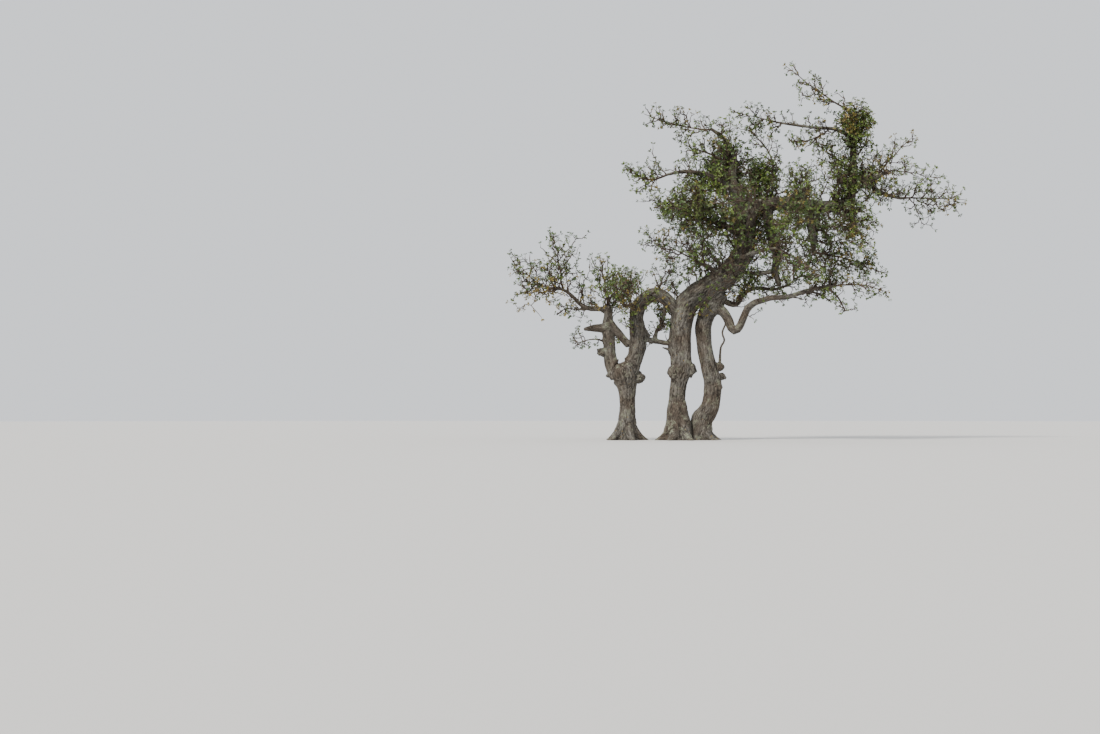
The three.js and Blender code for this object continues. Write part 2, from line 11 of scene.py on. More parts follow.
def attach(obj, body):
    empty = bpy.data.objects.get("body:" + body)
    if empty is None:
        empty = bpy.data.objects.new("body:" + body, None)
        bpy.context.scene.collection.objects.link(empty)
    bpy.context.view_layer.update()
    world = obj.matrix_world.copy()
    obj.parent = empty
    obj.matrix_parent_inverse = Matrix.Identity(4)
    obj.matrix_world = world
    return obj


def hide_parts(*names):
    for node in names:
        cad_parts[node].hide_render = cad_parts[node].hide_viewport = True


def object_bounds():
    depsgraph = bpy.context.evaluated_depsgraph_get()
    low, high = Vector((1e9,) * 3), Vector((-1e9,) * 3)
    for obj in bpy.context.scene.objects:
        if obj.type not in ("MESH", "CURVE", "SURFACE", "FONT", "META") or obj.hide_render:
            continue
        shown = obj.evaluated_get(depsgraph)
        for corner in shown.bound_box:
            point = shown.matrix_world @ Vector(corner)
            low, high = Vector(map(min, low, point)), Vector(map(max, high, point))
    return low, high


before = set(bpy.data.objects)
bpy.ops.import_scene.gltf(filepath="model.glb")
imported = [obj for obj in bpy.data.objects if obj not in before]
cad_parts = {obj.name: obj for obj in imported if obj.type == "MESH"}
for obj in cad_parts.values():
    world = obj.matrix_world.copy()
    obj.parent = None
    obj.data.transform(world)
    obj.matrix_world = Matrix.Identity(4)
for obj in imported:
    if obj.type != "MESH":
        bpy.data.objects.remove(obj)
cad_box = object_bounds()


# The camera. It stands 20.6 m in front of the tree at knee height and looks slightly up, as the
# photograph does from lower ground, and its view spans the photograph's width about its middle.
METRES_PER_PIXEL = 0.0135  # in the plane of the tree
PHOTO_WIDTH, PHOTO_HEIGHT = 1100, 734
FOOT_COLUMN, FOOT_ROW = 680, 440  # the pixel of the main stem's foot
LENS, SENSOR = 50, 36
EYE_HEIGHT = 0.35


def placed(name, data):
    """A new object of the scene."""
    thing = bpy.data.objects.new(name, data)
    bpy.context.scene.collection.objects.link(thing)
    return thing


camera = placed("camera", bpy.data.cameras.new("camera"))
camera.data.lens = LENS
camera.data.sensor_width = SENSOR
middle_column, middle_row = PHOTO_WIDTH / 2 - FOOT_COLUMN, FOOT_ROW - PHOTO_HEIGHT / 2
looked_at = Vector((middle_column, 0, middle_row)) * METRES_PER_PIXEL
camera_distance = PHOTO_WIDTH * METRES_PER_PIXEL * LENS / SENSOR
camera.location = (looked_at.x, -camera_distance, EYE_HEIGHT)
camera.rotation_euler = (looked_at - camera.location).to_track_quat("-Z", "Y").to_euler()
bpy.context.scene.camera = camera


# The main stem and the limb that rises from its top. Old hawthorn wood: the stem is fluted and
# knobbly, it flares into buttress roots at the ground, and its bark cracks into narrow plates.
# A limb is a tube swept along its smooth line. A point of a line is (x, y, z, radius), a root is
# (heading in degrees, reach, radius), and a burr is (middle, half its size each way).
RING_STEP = 0.045
LIMB_SIDES = 22
END_DOME = ((0.35, 0.82), (0.58, 0.45))  # a limb's rounded end: how far on and how wide, by its radius
THINNEST = 0.0105  # radius below which the skin's cells can't hold a tube
SOFTENING = 3  # passes of smoothing
ROOT_PROFILE = ((0.06, 0.33, 0.9), (0.42, 0.12, 1), (0.7, 0.03, 0.8), (1, -0.025, 0.55))
FLUTES = 3
FLUTE_TWIST = 3.6  # radians a metre
GROUND = 0.0  # the stems are cut off at this height
UPRIGHT = 0.2  # the sine of the angle from the vertical below which a direction counts as upright

main_stem = {
    "main_trunk": {
        "path": [
            (0, 0, -0.06, 0.205), (-0.04, 0, 0.25, 0.165), (-0.045, 0.005, 0.56, 0.112),
            (-0.015, 0.01, 0.79, 0.112), (0.022, 0.015, 0.98, 0.142), (0.012, 0.01, 1.29, 0.148),
            (0.03, 0, 1.6, 0.15), (0.11, -0.01, 1.86, 0.165), (0.345, -0.015, 2.045, 0.168),
            (0.64, -0.005, 2.23, 0.158), (0.835, 0.01, 2.47, 0.146), (0.915, 0.02, 2.74, 0.134),
            (0.92, 0.015, 3.035, 0.122), (0.94, 0.005, 3.215, 0.108),
        ],
        "branches": [
            [(-0.09, 0, 1.205, 0.03), (-0.235, -0.01, 1.248, 0.009)],
            [
                (0.02, 0.01, 1.29, 0.042), (-0.14, 0.01, 1.305, 0.033), (-0.3, 0.005, 1.33, 0.034),
                (-0.505, 0.01, 1.368, 0.036),
            ],
            [
                (-0.34, 0.005, 1.345, 0.03), (-0.31, 0, 1.48, 0.026), (-0.23, -0.005, 1.61, 0.024),
                (-0.2, -0.01, 1.83, 0.026),
            ],
        ],
        "roots": [
            (182, 0.33, 0.062), (118, 0.3, 0.06), (62, 0.25, 0.058), (238, 0.33, 0.066),
            (296, 0.32, 0.062),
        ],
        "burrs": [
            ((0.14, 0.005, 0.955), (0.082, 0.095, 0.105)), ((-0.095, -0.06, 0.9), (0.06, 0.07, 0.09)),
            ((0.02, 0.13, 1.18), (0.085, 0.06, 0.1)), ((0.56, -0.12, 2.21), (0.11, 0.07, 0.09)),
        ],
        "fluting": 0.07,
    },
    "upper_left_limb": {"path": [
        (0.89, 0, 3.08, 0.086), (0.77, -0.02, 3.29, 0.076), (0.71, -0.03, 3.53, 0.066),
        (0.74, 0.01, 3.77, 0.05), (0.7, 0.06, 3.95, 0.038), (0.61, 0.11, 4.12, 0.029),
        (0.45, 0.18, 4.25, 0.022),
    ]},
}


def unit(vectors):
    return vectors / np.linalg.norm(vectors, axis=-1, keepdims=True)


def sideways(along):
    """Unit directions square to the given ones, level where they can be."""
    side = np.cross((0, 0, 1), along)
    upright = np.linalg.norm(side, axis=-1) < UPRIGHT
    side[upright] = np.cross((1, 0, 0), along[upright])
    return unit(side)


def through(points, places):
    """The smooth line through the points. Place 1.5 is half-way from the second to the third."""
    ends = np.vstack([2 * points[0] - points[1], points, 2 * points[-1] - points[-2]])
    k = np.minimum(places.astype(int), len(points) - 2)
    t = (places - k)[:, None]
    a, b, c, d = ends[k], ends[k + 1], ends[k + 2], ends[k + 3]
    bend = (t**3 - 2 * t**2 + t) * (c - a) / 2 + (t**3 - t**2) * (d - b) / 2
    return (2 * t**3 - 3 * t**2 + 1) * b + (3 * t**2 - 2 * t**3) * c + bend


class Line:
    """The rings of one limb: their middles, radii and directions, and how far each is from the first."""

    def __init__(self, path, step, fluting=0.0):
        path = np.array(path, float)
        lengths = np.linalg.norm(np.diff(path[:, :3], axis=0), axis=1)
        counts = np.maximum(1, np.round(lengths / step)).astype(int)
        places = [k + np.arange(count) / count for k, count in enumerate(counts)]
        places = np.concatenate([*places, [len(path) - 1.0]])
        self.fluting = fluting
        self.at = through(path[:, :3], places)
        self.radius = np.interp(places, np.arange(len(path)), path[:, 3])
        self.along = unit(np.gradient(self.at, axis=0))
        sides = [sideways(self.along[:1])[0]]
        for along in self.along[1:]:
            sides.append(unit(sides[-1] - along * (sides[-1] @ along)))
        self.side = np.array(sides)
        self.across = np.cross(self.along, self.side)
        self.run = np.concatenate([[0], np.cumsum(np.linalg.norm(np.diff(self.at, axis=0), axis=1))])

    def ring(self, i, onward=0.0, width=1.0):
        """The place of a unit circle that makes ring i, or one beyond it by a share of its radius."""
        radius = max(self.radius[i], THINNEST)
        at = self.at[i] + self.along[i] * radius * onward
        columns = [self.side[i], self.across[i], self.along[i]]
        wide = radius * width
        place = Matrix([[*(column[row] * wide for column in columns), at[row]] for row in range(3)])
        return place.to_4x4()


def lines_of(limb, step=RING_STEP):
    """A limb's own line, and those of its branches and buttress roots."""
    lines = [Line(limb["path"], step, limb.get("fluting", 0.0))]
    lines += [Line(branch, step) for branch in limb.get("branches", [])]
    foot = limb["path"][0]
    for heading, reach, radius in limb.get("roots", []):
        turn = math.radians(heading)
        path = []
        for out, height, thick in ROOT_PROFILE:
            x, y = foot[0] + math.cos(turn) * (out * reach), foot[1] + math.sin(turn) * (out * reach)
            path.append((x, y, height, thick * radius))
        lines.append(Line(path, step))
    return lines


def sweep(wood, line):
    """One limb as a closed tube: a circle extruded from ring to ring, and rounded at its end."""
    last = len(line.at) - 1
    rings = [line.ring(i) for i in range(last + 1)] + [line.ring(last, *dome) for dome in END_DOME]
    circle = bmesh.ops.create_circle(wood, cap_ends=True, segments=LIMB_SIDES, radius=1, matrix=rings[0])
    face = circle["verts"][0].link_faces[0]
    for before, after in zip(rings, rings[1:]):
        made = bmesh.ops.extrude_face_region(wood, geom=[face])["geom"]
        face = next(part for part in made if isinstance(part, bmesh.types.BMFace))
        bmesh.ops.transform(wood, matrix=after @ before.inverted(), verts=face.verts)


def fused(wood, cell):
    """The overlapping tubes and knobs as one skin of even cells, with softened crotches."""
    mesh = bpy.data.meshes.new("rough_wood")
    bmesh.ops.recalc_face_normals(wood, faces=wood.faces)
    wood.to_mesh(mesh)
    wood.free()
    rough = placed("rough_wood", mesh)
    fuse = rough.modifiers.new("fuse", "REMESH")
    fuse.mode = "VOXEL"
    fuse.voxel_size = cell
    fuse.use_smooth_shade = True
    soften = rough.modifiers.new("soften", "SMOOTH")
    soften.iterations = SOFTENING
    skin = bpy.data.meshes.new_from_object(rough.evaluated_get(bpy.context.evaluated_depsgraph_get()))
    bpy.data.objects.remove(rough)
    return skin


# Where the points of a skin lie on its limbs: out from the limb's middle line to two sides, and
# along it, so that bark and flutes follow each limb round its bends.
POINTS_AT_ONCE = 20000


def distances(points, others):
    squares = (points**2).sum(1)[:, None] + (others**2).sum(1) - 2 * points @ others.T
    return np.sqrt(np.maximum(squares, 0))


def bark_places(points, lines):
    """Each point's limb and its place on that bark, the limb's radius and fluting, and what is near."""
    outside = np.empty((len(lines), len(points)))
    ring = np.empty((len(lines), len(points)), int)
    for i, line in enumerate(lines):
        for start in range(0, len(points), POINTS_AT_ONCE):
            part = slice(start, start + POINTS_AT_ONCE)
            gaps = distances(points[part], line.at) - line.radius
            ring[i, part] = gaps.argmin(1)
            outside[i, part] = gaps.min(1)
    own = outside.argmin(0)
    place = np.empty((len(points), 3))
    radius = np.empty(len(points))
    fluting = np.empty(len(points))
    for i, line in enumerate(lines):
        here = np.nonzero(own == i)[0]
        k = ring[i, here]
        off = points[here] - line.at[k]
        place[here, 0] = (off * line.side[k]).sum(1)
        place[here, 1] = (off * line.across[k]).sum(1)
        place[here, 2] = line.run[k] + (off * line.along[k]).sum(1)
        radius[here] = line.radius[k]
        fluting[here] = line.fluting
    ordered = np.sort(outside, axis=0)
    next_limb = ordered[1] - ordered[0] if len(lines) > 1 else np.ones(len(points))
    return own, place, radius, fluting, next_limb, ordered[0]


# The relief of the bark, from the large forms to the small: flutes, swellings, a collar where a
# limb leaves another, the lumpy wood of a burr, and the cracks between the plates.
SWELLING, SWELLING_SIZE = 0.075, 0.17
COLLAR, COLLAR_REACH = 0.14, 0.035
BURR_LUMP, BURR_LUMP_SIZE, BURR_HEIGHT = 0.013, 0.045, 0.03
PLATE_WIDTH, PLATE_LENGTH = (0.011, 0.15), 4.2  # width: least, and share of the limb's radius
CRACK_WIDTH, CRACK_DEPTH, DEEPEST_CRACK = 0.26, 0.06, 0.0075
CRACK_SIDES = 1.5  # the power by which the sides of a crack or furrow steepen
OPEN_CRACKS, CLOSED_CRACKS, CLOSED_CRACKS_SIZE = 0.6, 0.1, 0.08  # depth as a rule and at least, patch size
CELL_WARP, CELL_WARP_SIZE = 0.5, 0.06
FURROW_APART, FURROW_LENGTH, FURROW_WIDTH, FURROW_DEPTH = 1.6, 3, 0.11, 0.5
GRAIN, GRAIN_SIZE = 0.0012, 0.016
# Shifts set one noise apart from the next, and one limb's plates and colours from another's.
BURR_SHIFT, WARP_SHIFT, CLOSED_SHIFT, FURROW_SHIFT, GRAIN_SHIFT = 7.3, 2.9, 6.6, 9.4, 4.1
AXIS_SHIFT, LIMB_SHIFT, COLOUR_SHIFT = 3, 5.7, 0.37


def noise_at(points, size, shift=0.0):
    """Smooth noise from -1 to 1 at each point, with lumps of about that size."""
    return np.array([noise.noise(point) for point in (points / size + shift).tolist()])


def carve_bark(skin, lines):
    """Moves the skin out and in by the relief, and keeps each point's place on the bark and its crack."""
    points = np.empty(len(skin.vertices) * 3)
    skin.vertices.foreach_get("co", points)
    points = points.reshape(-1, 3)
    normals = np.empty(len(skin.vertices) * 3, np.float32)
    skin.vertex_normals.foreach_get("vector", normals)
    own, place, radius, fluting, next_limb, outside = bark_places(points, lines)

    turn = np.arctan2(place[:, 1], place[:, 0])
    relief = fluting * radius * np.cos(FLUTES * turn + FLUTE_TWIST * place[:, 2])
    relief += SWELLING * radius * noise_at(points, SWELLING_SIZE)
    relief += COLLAR * radius * np.exp(-((next_limb / COLLAR_REACH) ** 2))
    burr = np.clip(outside / BURR_HEIGHT, 0, 1)
    relief += BURR_LUMP * burr * noise_at(points, BURR_LUMP_SIZE, BURR_SHIFT)

    mean_radius = np.array([line.radius.mean() for line in lines])[own]
    width = (PLATE_WIDTH[0] + PLATE_WIDTH[1] * mean_radius)[:, None]
    cells = place / (width * np.array([1, 1, PLATE_LENGTH])) + own[:, None] * LIMB_SHIFT
    for axis in range(3):
        cells[:, axis] += CELL_WARP * noise_at(points, CELL_WARP_SIZE, WARP_SHIFT + AXIS_SHIFT * axis)
    nearest = np.array([noise.voronoi(cell)[0][:2] for cell in cells.tolist()])
    crack = np.clip(1 - (nearest[:, 1] - nearest[:, 0]) / CRACK_WIDTH, 0, 1) ** CRACK_SIDES
    crack *= np.clip(OPEN_CRACKS + noise_at(points, CLOSED_CRACKS_SIZE, CLOSED_SHIFT), CLOSED_CRACKS, 1)
    long_cells = cells / (FURROW_APART * np.array([1, 1, FURROW_LENGTH]))
    apart = np.abs(noise_at(long_cells, 1, FURROW_SHIFT))
    furrow = np.clip(1 - apart / FURROW_WIDTH, 0, 1) ** CRACK_SIDES
    crack = np.maximum(crack, furrow)
    relief -= np.minimum(CRACK_DEPTH * radius, DEEPEST_CRACK) * (crack + FURROW_DEPTH * furrow)
    relief += GRAIN * noise_at(points, GRAIN_SIZE, GRAIN_SHIFT)

    points += normals.reshape(-1, 3) * relief[:, None]
    skin.vertices.foreach_set("co", points.astype(np.float32).ravel())
    place += own[:, None] * COLOUR_SHIFT
    spot = skin.attributes.new("bark_place", "FLOAT_VECTOR", "POINT")
    spot.data.foreach_set("vector", place.astype(np.float32).ravel())
    # The crack depth is kept so that the bark's colour can paint shade into the cracks.
    crack_shade_layer = skin.attributes.new("crack", "FLOAT", "POINT")
    crack_shade_layer.data.foreach_set("value", crack.astype(np.float32))


def cut_at_ground(skin):
    """Saws the stems off level with the ground, with flat closed ends."""
    mesh = bmesh.new()
    mesh.from_mesh(skin)
    everything = [*mesh.verts, *mesh.edges, *mesh.faces]
    bmesh.ops.bisect_plane(
        mesh, geom=everything, plane_co=(0, 0, GROUND), plane_no=(0, 0, 1), clear_inner=True
    )
    rim = [edge for edge in mesh.edges if edge.is_boundary]
    for face in bmesh.ops.holes_fill(mesh, edges=rim)["faces"]:
        face.smooth = False
    mesh.to_mesh(skin)
    mesh.free()


# The bark itself. Dark grey-brown plates, painted almost black in the cracks as painted shade, and
# paler and greyer where weather has worn the ridges, with crusts of grey-green lichen on the sides that rain
# wets.
def add(tree, kind, inputs=None, **settings):
    """A shader node. An input is linked where a socket is given for it, and otherwise set."""
    node = tree.nodes.new("ShaderNode" + kind)
    for name, value in settings.items():
        setattr(node, name, value)
    for name, value in (inputs or {}).items():
        if isinstance(value, bpy.types.NodeSocket):
            tree.links.new(value, node.inputs[name])
        else:
            node.inputs[name].default_value = value
    return node


def ramp(tree, value, *stops):
    """The colour that a value from 0 to 1 gives between stops of (place, (red, green, blue))."""
    node = add(tree, "ValToRGB", {"Fac": value})
    while len(node.color_ramp.elements) < len(stops):
        node.color_ramp.elements.new(0.5)
    for element, (place, colour) in zip(node.color_ramp.elements, stops):
        element.position = place
        element.color = (*colour, 1)
    return node.outputs["Color"]


def soft_noise(tree, place, scale, detail, roughness=0.5):
    """Smooth noise from 0 to 1, with about the scale's number of lumps to a metre."""
    inputs = {"Vector": place, "Scale": scale, "Detail": detail, "Roughness": roughness}
    return add(tree, "TexNoise", inputs).outputs["Fac"]


def cell_noise(tree, place, scale, feature="F1"):
    """How far it is to the middle of the nearest cell or, by its feature, to the nearest edge."""
    return add(tree, "TexVoronoi", {"Vector": place, "Scale": scale}, feature=feature).outputs["Distance"]


def between(tree, value, low, high):
    """A value as its share of the way from low to high."""
    return add(tree, "MapRange", {"Value": value, "From Min": low, "From Max": high}).outputs["Result"]


def product(tree, *values):
    result = values[0]
    for value in values[1:]:
        result = add(tree, "Math", {0: result, 1: value}, operation="MULTIPLY").outputs["Value"]
    return result


MIX_SHARE, MIX_FIRST, MIX_SECOND, MIX_COLOUR = 0, 6, 7, 2  # a Mix node's sockets for colours


def mixed(tree, share, first, second):
    """A colour that goes from the first to the second as the share goes from 0 to 1."""
    node = add(tree, "Mix", data_type="RGBA")
    for k, value in ((MIX_SHARE, share), (MIX_FIRST, first), (MIX_SECOND, second)):
        if isinstance(value, bpy.types.NodeSocket):
            tree.links.new(value, node.inputs[k])
        else:
            node.inputs[k].default_value = value if k == MIX_SHARE else (*value, 1)
    return node.outputs[MIX_COLOUR]


def new_material(name):
    material = bpy.data.materials.new(name)
    material.use_nodes = True
    return material, material.node_tree, material.node_tree.nodes["Principled BSDF"]


BARK_STRETCH = (1, 1, 0.22)  # the pattern is drawn out along the limb


def weathered_bark():
    material, tree, shader = new_material("weathered_bark")
    spot = add(tree, "Attribute", attribute_name="bark_place").outputs["Vector"]
    crack = add(tree, "Attribute", attribute_name="crack").outputs["Fac"]
    streaks = add(tree, "VectorMath", {0: spot, 1: BARK_STRETCH}, operation="MULTIPLY").outputs["Vector"]
    solid = add(tree, "TexCoord").outputs["Object"]
    up = add(tree, "SeparateXYZ", {"Vector": add(tree, "NewGeometry").outputs["Normal"]}).outputs["Z"]

    broad = soft_noise(tree, solid, 3.1, 5, 0.6)
    fine = soft_noise(tree, streaks, 34, 8, 0.68)
    brown = ramp(
        tree, fine, (0.28, (0.034, 0.026, 0.019)), (0.47, (0.082, 0.064, 0.048)),
        (0.62, (0.135, 0.112, 0.088)), (0.78, (0.21, 0.186, 0.156)),
    )
    grey = ramp(
        tree, fine, (0.28, (0.045, 0.041, 0.035)), (0.5, (0.115, 0.106, 0.092)),
        (0.76, (0.245, 0.232, 0.205)),
    )
    bark = mixed(tree, between(tree, broad, 0.42, 0.6), brown, grey)

    # Painted shade: the fine net of fissures is painted almost black where the bump sinks it.
    fissure = cell_noise(tree, streaks, 62, "DISTANCE_TO_EDGE")
    fissure_shade = between(tree, fissure, 0.09, 0.0)
    bark = mixed(tree, product(tree, fissure_shade, 0.7), bark, (0.022, 0.017, 0.013))
    # Painted shade: the carved cracks are painted almost black.
    bark = mixed(tree, between(tree, crack, 0.15, 1.0), bark, (0.016, 0.012, 0.009))

    crust = soft_noise(tree, solid, 11, 7, 0.7)
    grown = product(tree, between(tree, crust, 0.53, 0.6), between(tree, up, -0.35, 0.65))
    patch = soft_noise(tree, solid, 70, 3)
    lichen = ramp(tree, patch, (0.35, (0.16, 0.175, 0.115)), (0.65, (0.33, 0.345, 0.255)))
    bark = mixed(tree, product(tree, grown, 0.75), bark, lichen)
    gold = cell_noise(tree, solid, 19)
    spots = product(tree, between(tree, gold, 0.2, 0.12), between(tree, broad, 0.52, 0.6))
    bark = mixed(tree, product(tree, spots, 0.5), bark, (0.26, 0.17, 0.045))

    tree.links.new(bark, shader.inputs["Base Color"])
    dry = between(tree, fine, 0.2, 0.8)
    rough = add(tree, "MapRange", {"Value": dry, "To Min": 0.78, "To Max": 0.96}).outputs["Result"]
    tree.links.new(rough, shader.inputs["Roughness"])
    shader.inputs["Specular IOR Level"].default_value = 0.25
    grain = add(tree, "Bump", {"Strength": 0.55, "Distance": 0.004, "Height": fine})
    cut = add(
        tree, "Bump", {"Strength": 0.7, "Distance": 0.004, "Height": between(tree, fissure, 0.0, 0.12),
                       "Normal": grain.outputs["Normal"]}
    )
    tree.links.new(cut.outputs["Normal"], shader.inputs["Normal"])
    return material


bark = weathered_bark()
limb_paths = {}  # node: its own line's points, from which the foliage grows on
limb_rings = {}  # node: its lines' rings, which the foliage keeps clear of
CLEAR_STEP = 0.0625
KNOB_LUMP_SIZE, KNOB_LUMP, KNOB_CUTS = 0.062, 0.42, 4
KNOB_FRACTAL = (0.8, 2.1, 3)  # how fast the finer lumps fade, how much finer each set is, and the sets


def grow_wood(name, limbs, cell):
    """One piece of wood from a group of limbs, in place of their solids."""
    wood = bmesh.new()
    lines = []
    for node, limb in limbs.items():
        for line in lines_of(limb):
            sweep(wood, line)
            lines.append(line)
        for middle, size in limb.get("burrs", []):
            middle = Vector(middle)
            place = Matrix.Translation(middle) @ Matrix.Diagonal((*size, 1))
            knob = bmesh.ops.create_icosphere(wood, subdivisions=KNOB_CUTS, radius=1, matrix=place)
            for vertex in knob["verts"]:
                lump = noise.fractal(vertex.co / KNOB_LUMP_SIZE, *KNOB_FRACTAL)
                vertex.co = middle + (vertex.co - middle) * (1 + KNOB_LUMP * lump)
        limb_paths[node] = limb["path"]
        paths = [limb["path"], *limb.get("branches", [])]
        limb_rings[node] = [Line(path, CLEAR_STEP) for path in paths]
    skin = fused(wood, cell)
    carve_bark(skin, lines)
    if any("roots" in limb for limb in limbs.values()):
        cut_at_ground(skin)
    skin.name = name
    skin.materials.clear()
    skin.materials.append(bark)
    piece = placed(name, skin)
    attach(piece, "root")
    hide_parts(*limbs)


grow_wood("main_stem", main_stem, cell=0.0078)


# The right stem, which leans on the main one and grows into its top, and the hooked bough that
# drops from there and turns up again. Both are the same fluted and burred wood.
right_stem = {
    "right_stem": {
        "path": [
            (0.235, 0.095, -0.06, 0.172), (0.3, 0.095, 0.245, 0.142), (0.415, 0.085, 0.475, 0.122),
            (0.446, 0.08, 0.77, 0.118), (0.385, 0.07, 1.05, 0.105), (0.34, 0.06, 1.29, 0.103),
            (0.33, 0.045, 1.55, 0.112), (0.405, 0.025, 1.785, 0.125), (0.54, 0.005, 1.95, 0.118),
        ],
        "branches": [
            [
                (0.545, 0.07, 0.99, 0.022), (0.556, 0.045, 1.24, 0.015), (0.602, 0.005, 1.345, 0.014),
                (0.57, -0.03, 1.45, 0.013), (0.622, -0.072, 1.59, 0.012),
            ],
        ],
        "roots": [(8, 0.33, 0.058), (64, 0.3, 0.056), (322, 0.31, 0.058)],
        "burrs": [
            ((0.555, 0.075, 1), (0.062, 0.06, 0.055)), ((0.575, 0.08, 0.86), (0.05, 0.062, 0.048)),
            ((0.5, 0.02, 0.7), (0.062, 0.058, 0.08)), ((0.44, 0.17, 0.9), (0.08, 0.055, 0.095)),
        ],
        "fluting": 0.06,
    },
    "hooked_bough": {"path": [
        (0.45, 0.01, 1.8, 0.074), (0.57, -0.055, 1.735, 0.068), (0.65, -0.1, 1.61, 0.062),
        (0.678, -0.135, 1.51, 0.058), (0.725, -0.155, 1.468, 0.055), (0.785, -0.175, 1.52, 0.052),
        (0.835, -0.195, 1.64, 0.05), (0.89, -0.215, 1.76, 0.048), (0.985, -0.235, 1.84, 0.044),
        (1.07, -0.25, 1.865, 0.041),
    ]},
}
grow_wood("right_stem_and_hook", right_stem, cell=0.007)


# The left stem forks low down. Its inner fork bends over as an arch and grows into the main stem,
# and a limb crosses between the outer fork and the inner one.
left_clump = {
    "left_stem": {
        "path": [
            (-0.729, 0.06, -0.06, 0.158), (-0.716, 0.06, 0.25, 0.112), (-0.714, 0.055, 0.48, 0.108),
            (-0.716, 0.05, 0.68, 0.124), (-0.735, 0.045, 0.835, 0.158), (-0.765, 0.045, 0.945, 0.168),
        ],
        "roots": [
            (0, 0.3, 0.054), (75, 0.27, 0.052), (150, 0.29, 0.052), (215, 0.3, 0.054), (290, 0.29, 0.054),
        ],
        "burrs": [((-0.56, 0.04, 0.85), (0.075, 0.07, 0.075)), ((-0.9, 0.06, 0.89), (0.085, 0.08, 0.06))],
        "fluting": 0.07,
    },
    "left_fork": {
        "path": [
            (-0.85, 0.06, 0.85, 0.092), (-0.925, 0.075, 1.02, 0.09), (-0.95, 0.095, 1.29, 0.083),
            (-0.968, 0.115, 1.55, 0.072), (-0.955, 0.125, 1.8, 0.052),
        ],
        "branches": [
            [
                (-0.945, 0.095, 1.3, 0.017), (-1.08, 0.075, 1.355, 0.013), (-1.21, 0.06, 1.36, 0.01),
                (-1.38, 0.04, 1.31, 0.006),
            ],
            [(-0.95, 0.095, 1.515, 0.06), (-1.15, 0.07, 1.515, 0.05), (-1.285, 0.055, 1.5, 0.024)],
            [(-0.955, 0.095, 1.6, 0.054), (-0.815, 0.06, 1.43, 0.054), (-0.7, 0.035, 1.29, 0.05)],
        ],
        "burrs": [((-1.045, 0.085, 1.19), (0.07, 0.066, 0.06))],
    },
    "inner_fork": {
        "path": [
            (-0.7, 0.04, 0.85, 0.122), (-0.625, 0.025, 1.05, 0.108), (-0.562, 0.01, 1.27, 0.112),
            (-0.575, -0.005, 1.46, 0.106), (-0.59, -0.01, 1.65, 0.094), (-0.56, -0.01, 1.8, 0.092),
        ],
        "branches": [
            [(-0.57, -0.005, 1.6, 0.036), (-0.5, -0.015, 1.515, 0.03), (-0.42, 0, 1.4, 0.028)],
        ],
    },
    "arch_bough": {"path": [
        (-0.575, -0.01, 1.77, 0.088), (-0.475, -0.015, 1.905, 0.096), (-0.31, -0.015, 1.962, 0.098),
        (-0.16, -0.01, 1.88, 0.09), (-0.02, 0, 1.7, 0.076),
    ]},
    "left_bough": {
        "path": [
            (-0.95, 0.12, 1.78, 0.038), (-1.21, 0.06, 1.78, 0.032), (-1.35, 0.01, 1.84, 0.028),
            (-1.45, -0.04, 1.94, 0.025), (-1.57, -0.09, 2.02, 0.021), (-1.7, -0.13, 2.04, 0.016),
        ],
        "branches": [
            [
                (-1.21, 0.06, 1.775, 0.015), (-1.38, 0.03, 1.765, 0.012), (-1.54, 0, 1.775, 0.009),
                (-1.665, -0.02, 1.69, 0.006),
            ],
        ],
    },
}
grow_wood("left_clump", left_clump, cell=0.0075)


# The crown's thick limbs: one runs level from the main stem's top and turns up as the leader,
# and others hang from it or brace it against the stem.
crown_limbs = {
    "upper_limb": {
        "path": [
            (0.925, 0.01, 3.06, 0.112), (1.13, 0, 3.18, 0.098), (1.485, -0.01, 3.2, 0.09),
            (1.823, -0.005, 3.16, 0.085), (2.13, 0.01, 3.175, 0.076), (2.3, 0.015, 3.245, 0.066),
        ],
        "branches": [
            [
                (1.26, 0.03, 3.22, 0.022), (1.275, 0.09, 3.74, 0.014), (1.22, 0.14, 3.94, 0.011),
                (1.11, 0.19, 4.1, 0.009), (0.99, 0.24, 4.26, 0.005),
            ],
        ],
    },
    "right_leader": {"path": [
        (2.29, 0.015, 3.2, 0.066), (2.335, 0.02, 3.38, 0.062), (2.365, 0.03, 3.65, 0.055),
        (2.36, 0.03, 3.92, 0.044), (2.39, 0, 4.18, 0.032), (2.42, -0.03, 4.4, 0.021),
    ]},
    "hanging_limb": {"path": [
        (1.18, 0, 3.15, 0.078), (1.236, 0.03, 2.82, 0.07), (1.318, 0.04, 2.55, 0.06),
        (1.3, 0.02, 2.29, 0.048), (1.34, -0.04, 2.09, 0.034),
    ]},
    "brace_limb": {"path": [
        (0.76, 0.02, 2.29, 0.036), (0.96, 0.06, 2.262, 0.03), (1.15, 0.06, 2.265, 0.028),
        (1.29, 0.03, 2.29, 0.026),
    ]},
    "drooping_bough": {"path": [
        (1.79, -0.005, 3.13, 0.112), (1.806, -0.03, 2.92, 0.096), (1.8, -0.05, 2.7, 0.05),
        (1.81, -0.06, 2.5, 0.028),
    ]},
    "right_upper_bough": {"path": [
        (2.35, 0.028, 3.54, 0.054), (2.53, -0.06, 3.53, 0.046), (2.68, -0.16, 3.55, 0.034),
        (2.77, -0.23, 3.62, 0.024),
    ]},
    "right_lower_bough": {"path": [
        (2.48, -0.03, 3.54, 0.036), (2.67, 0.1, 3.42, 0.033), (2.84, 0.19, 3.35, 0.028),
        (3.07, 0.28, 3.31, 0.02),
    ]},
    "top_left_bough": {"path": [
        (2.38, 0.02, 4.07, 0.03), (2.16, 0.12, 4.23, 0.026), (1.86, 0.22, 4.28, 0.021),
        (1.53, 0.3, 4.34, 0.017), (1.33, 0.33, 4.38, 0.013),
    ]},
}
grow_wood("crown_limbs", crown_limbs, cell=0.007)


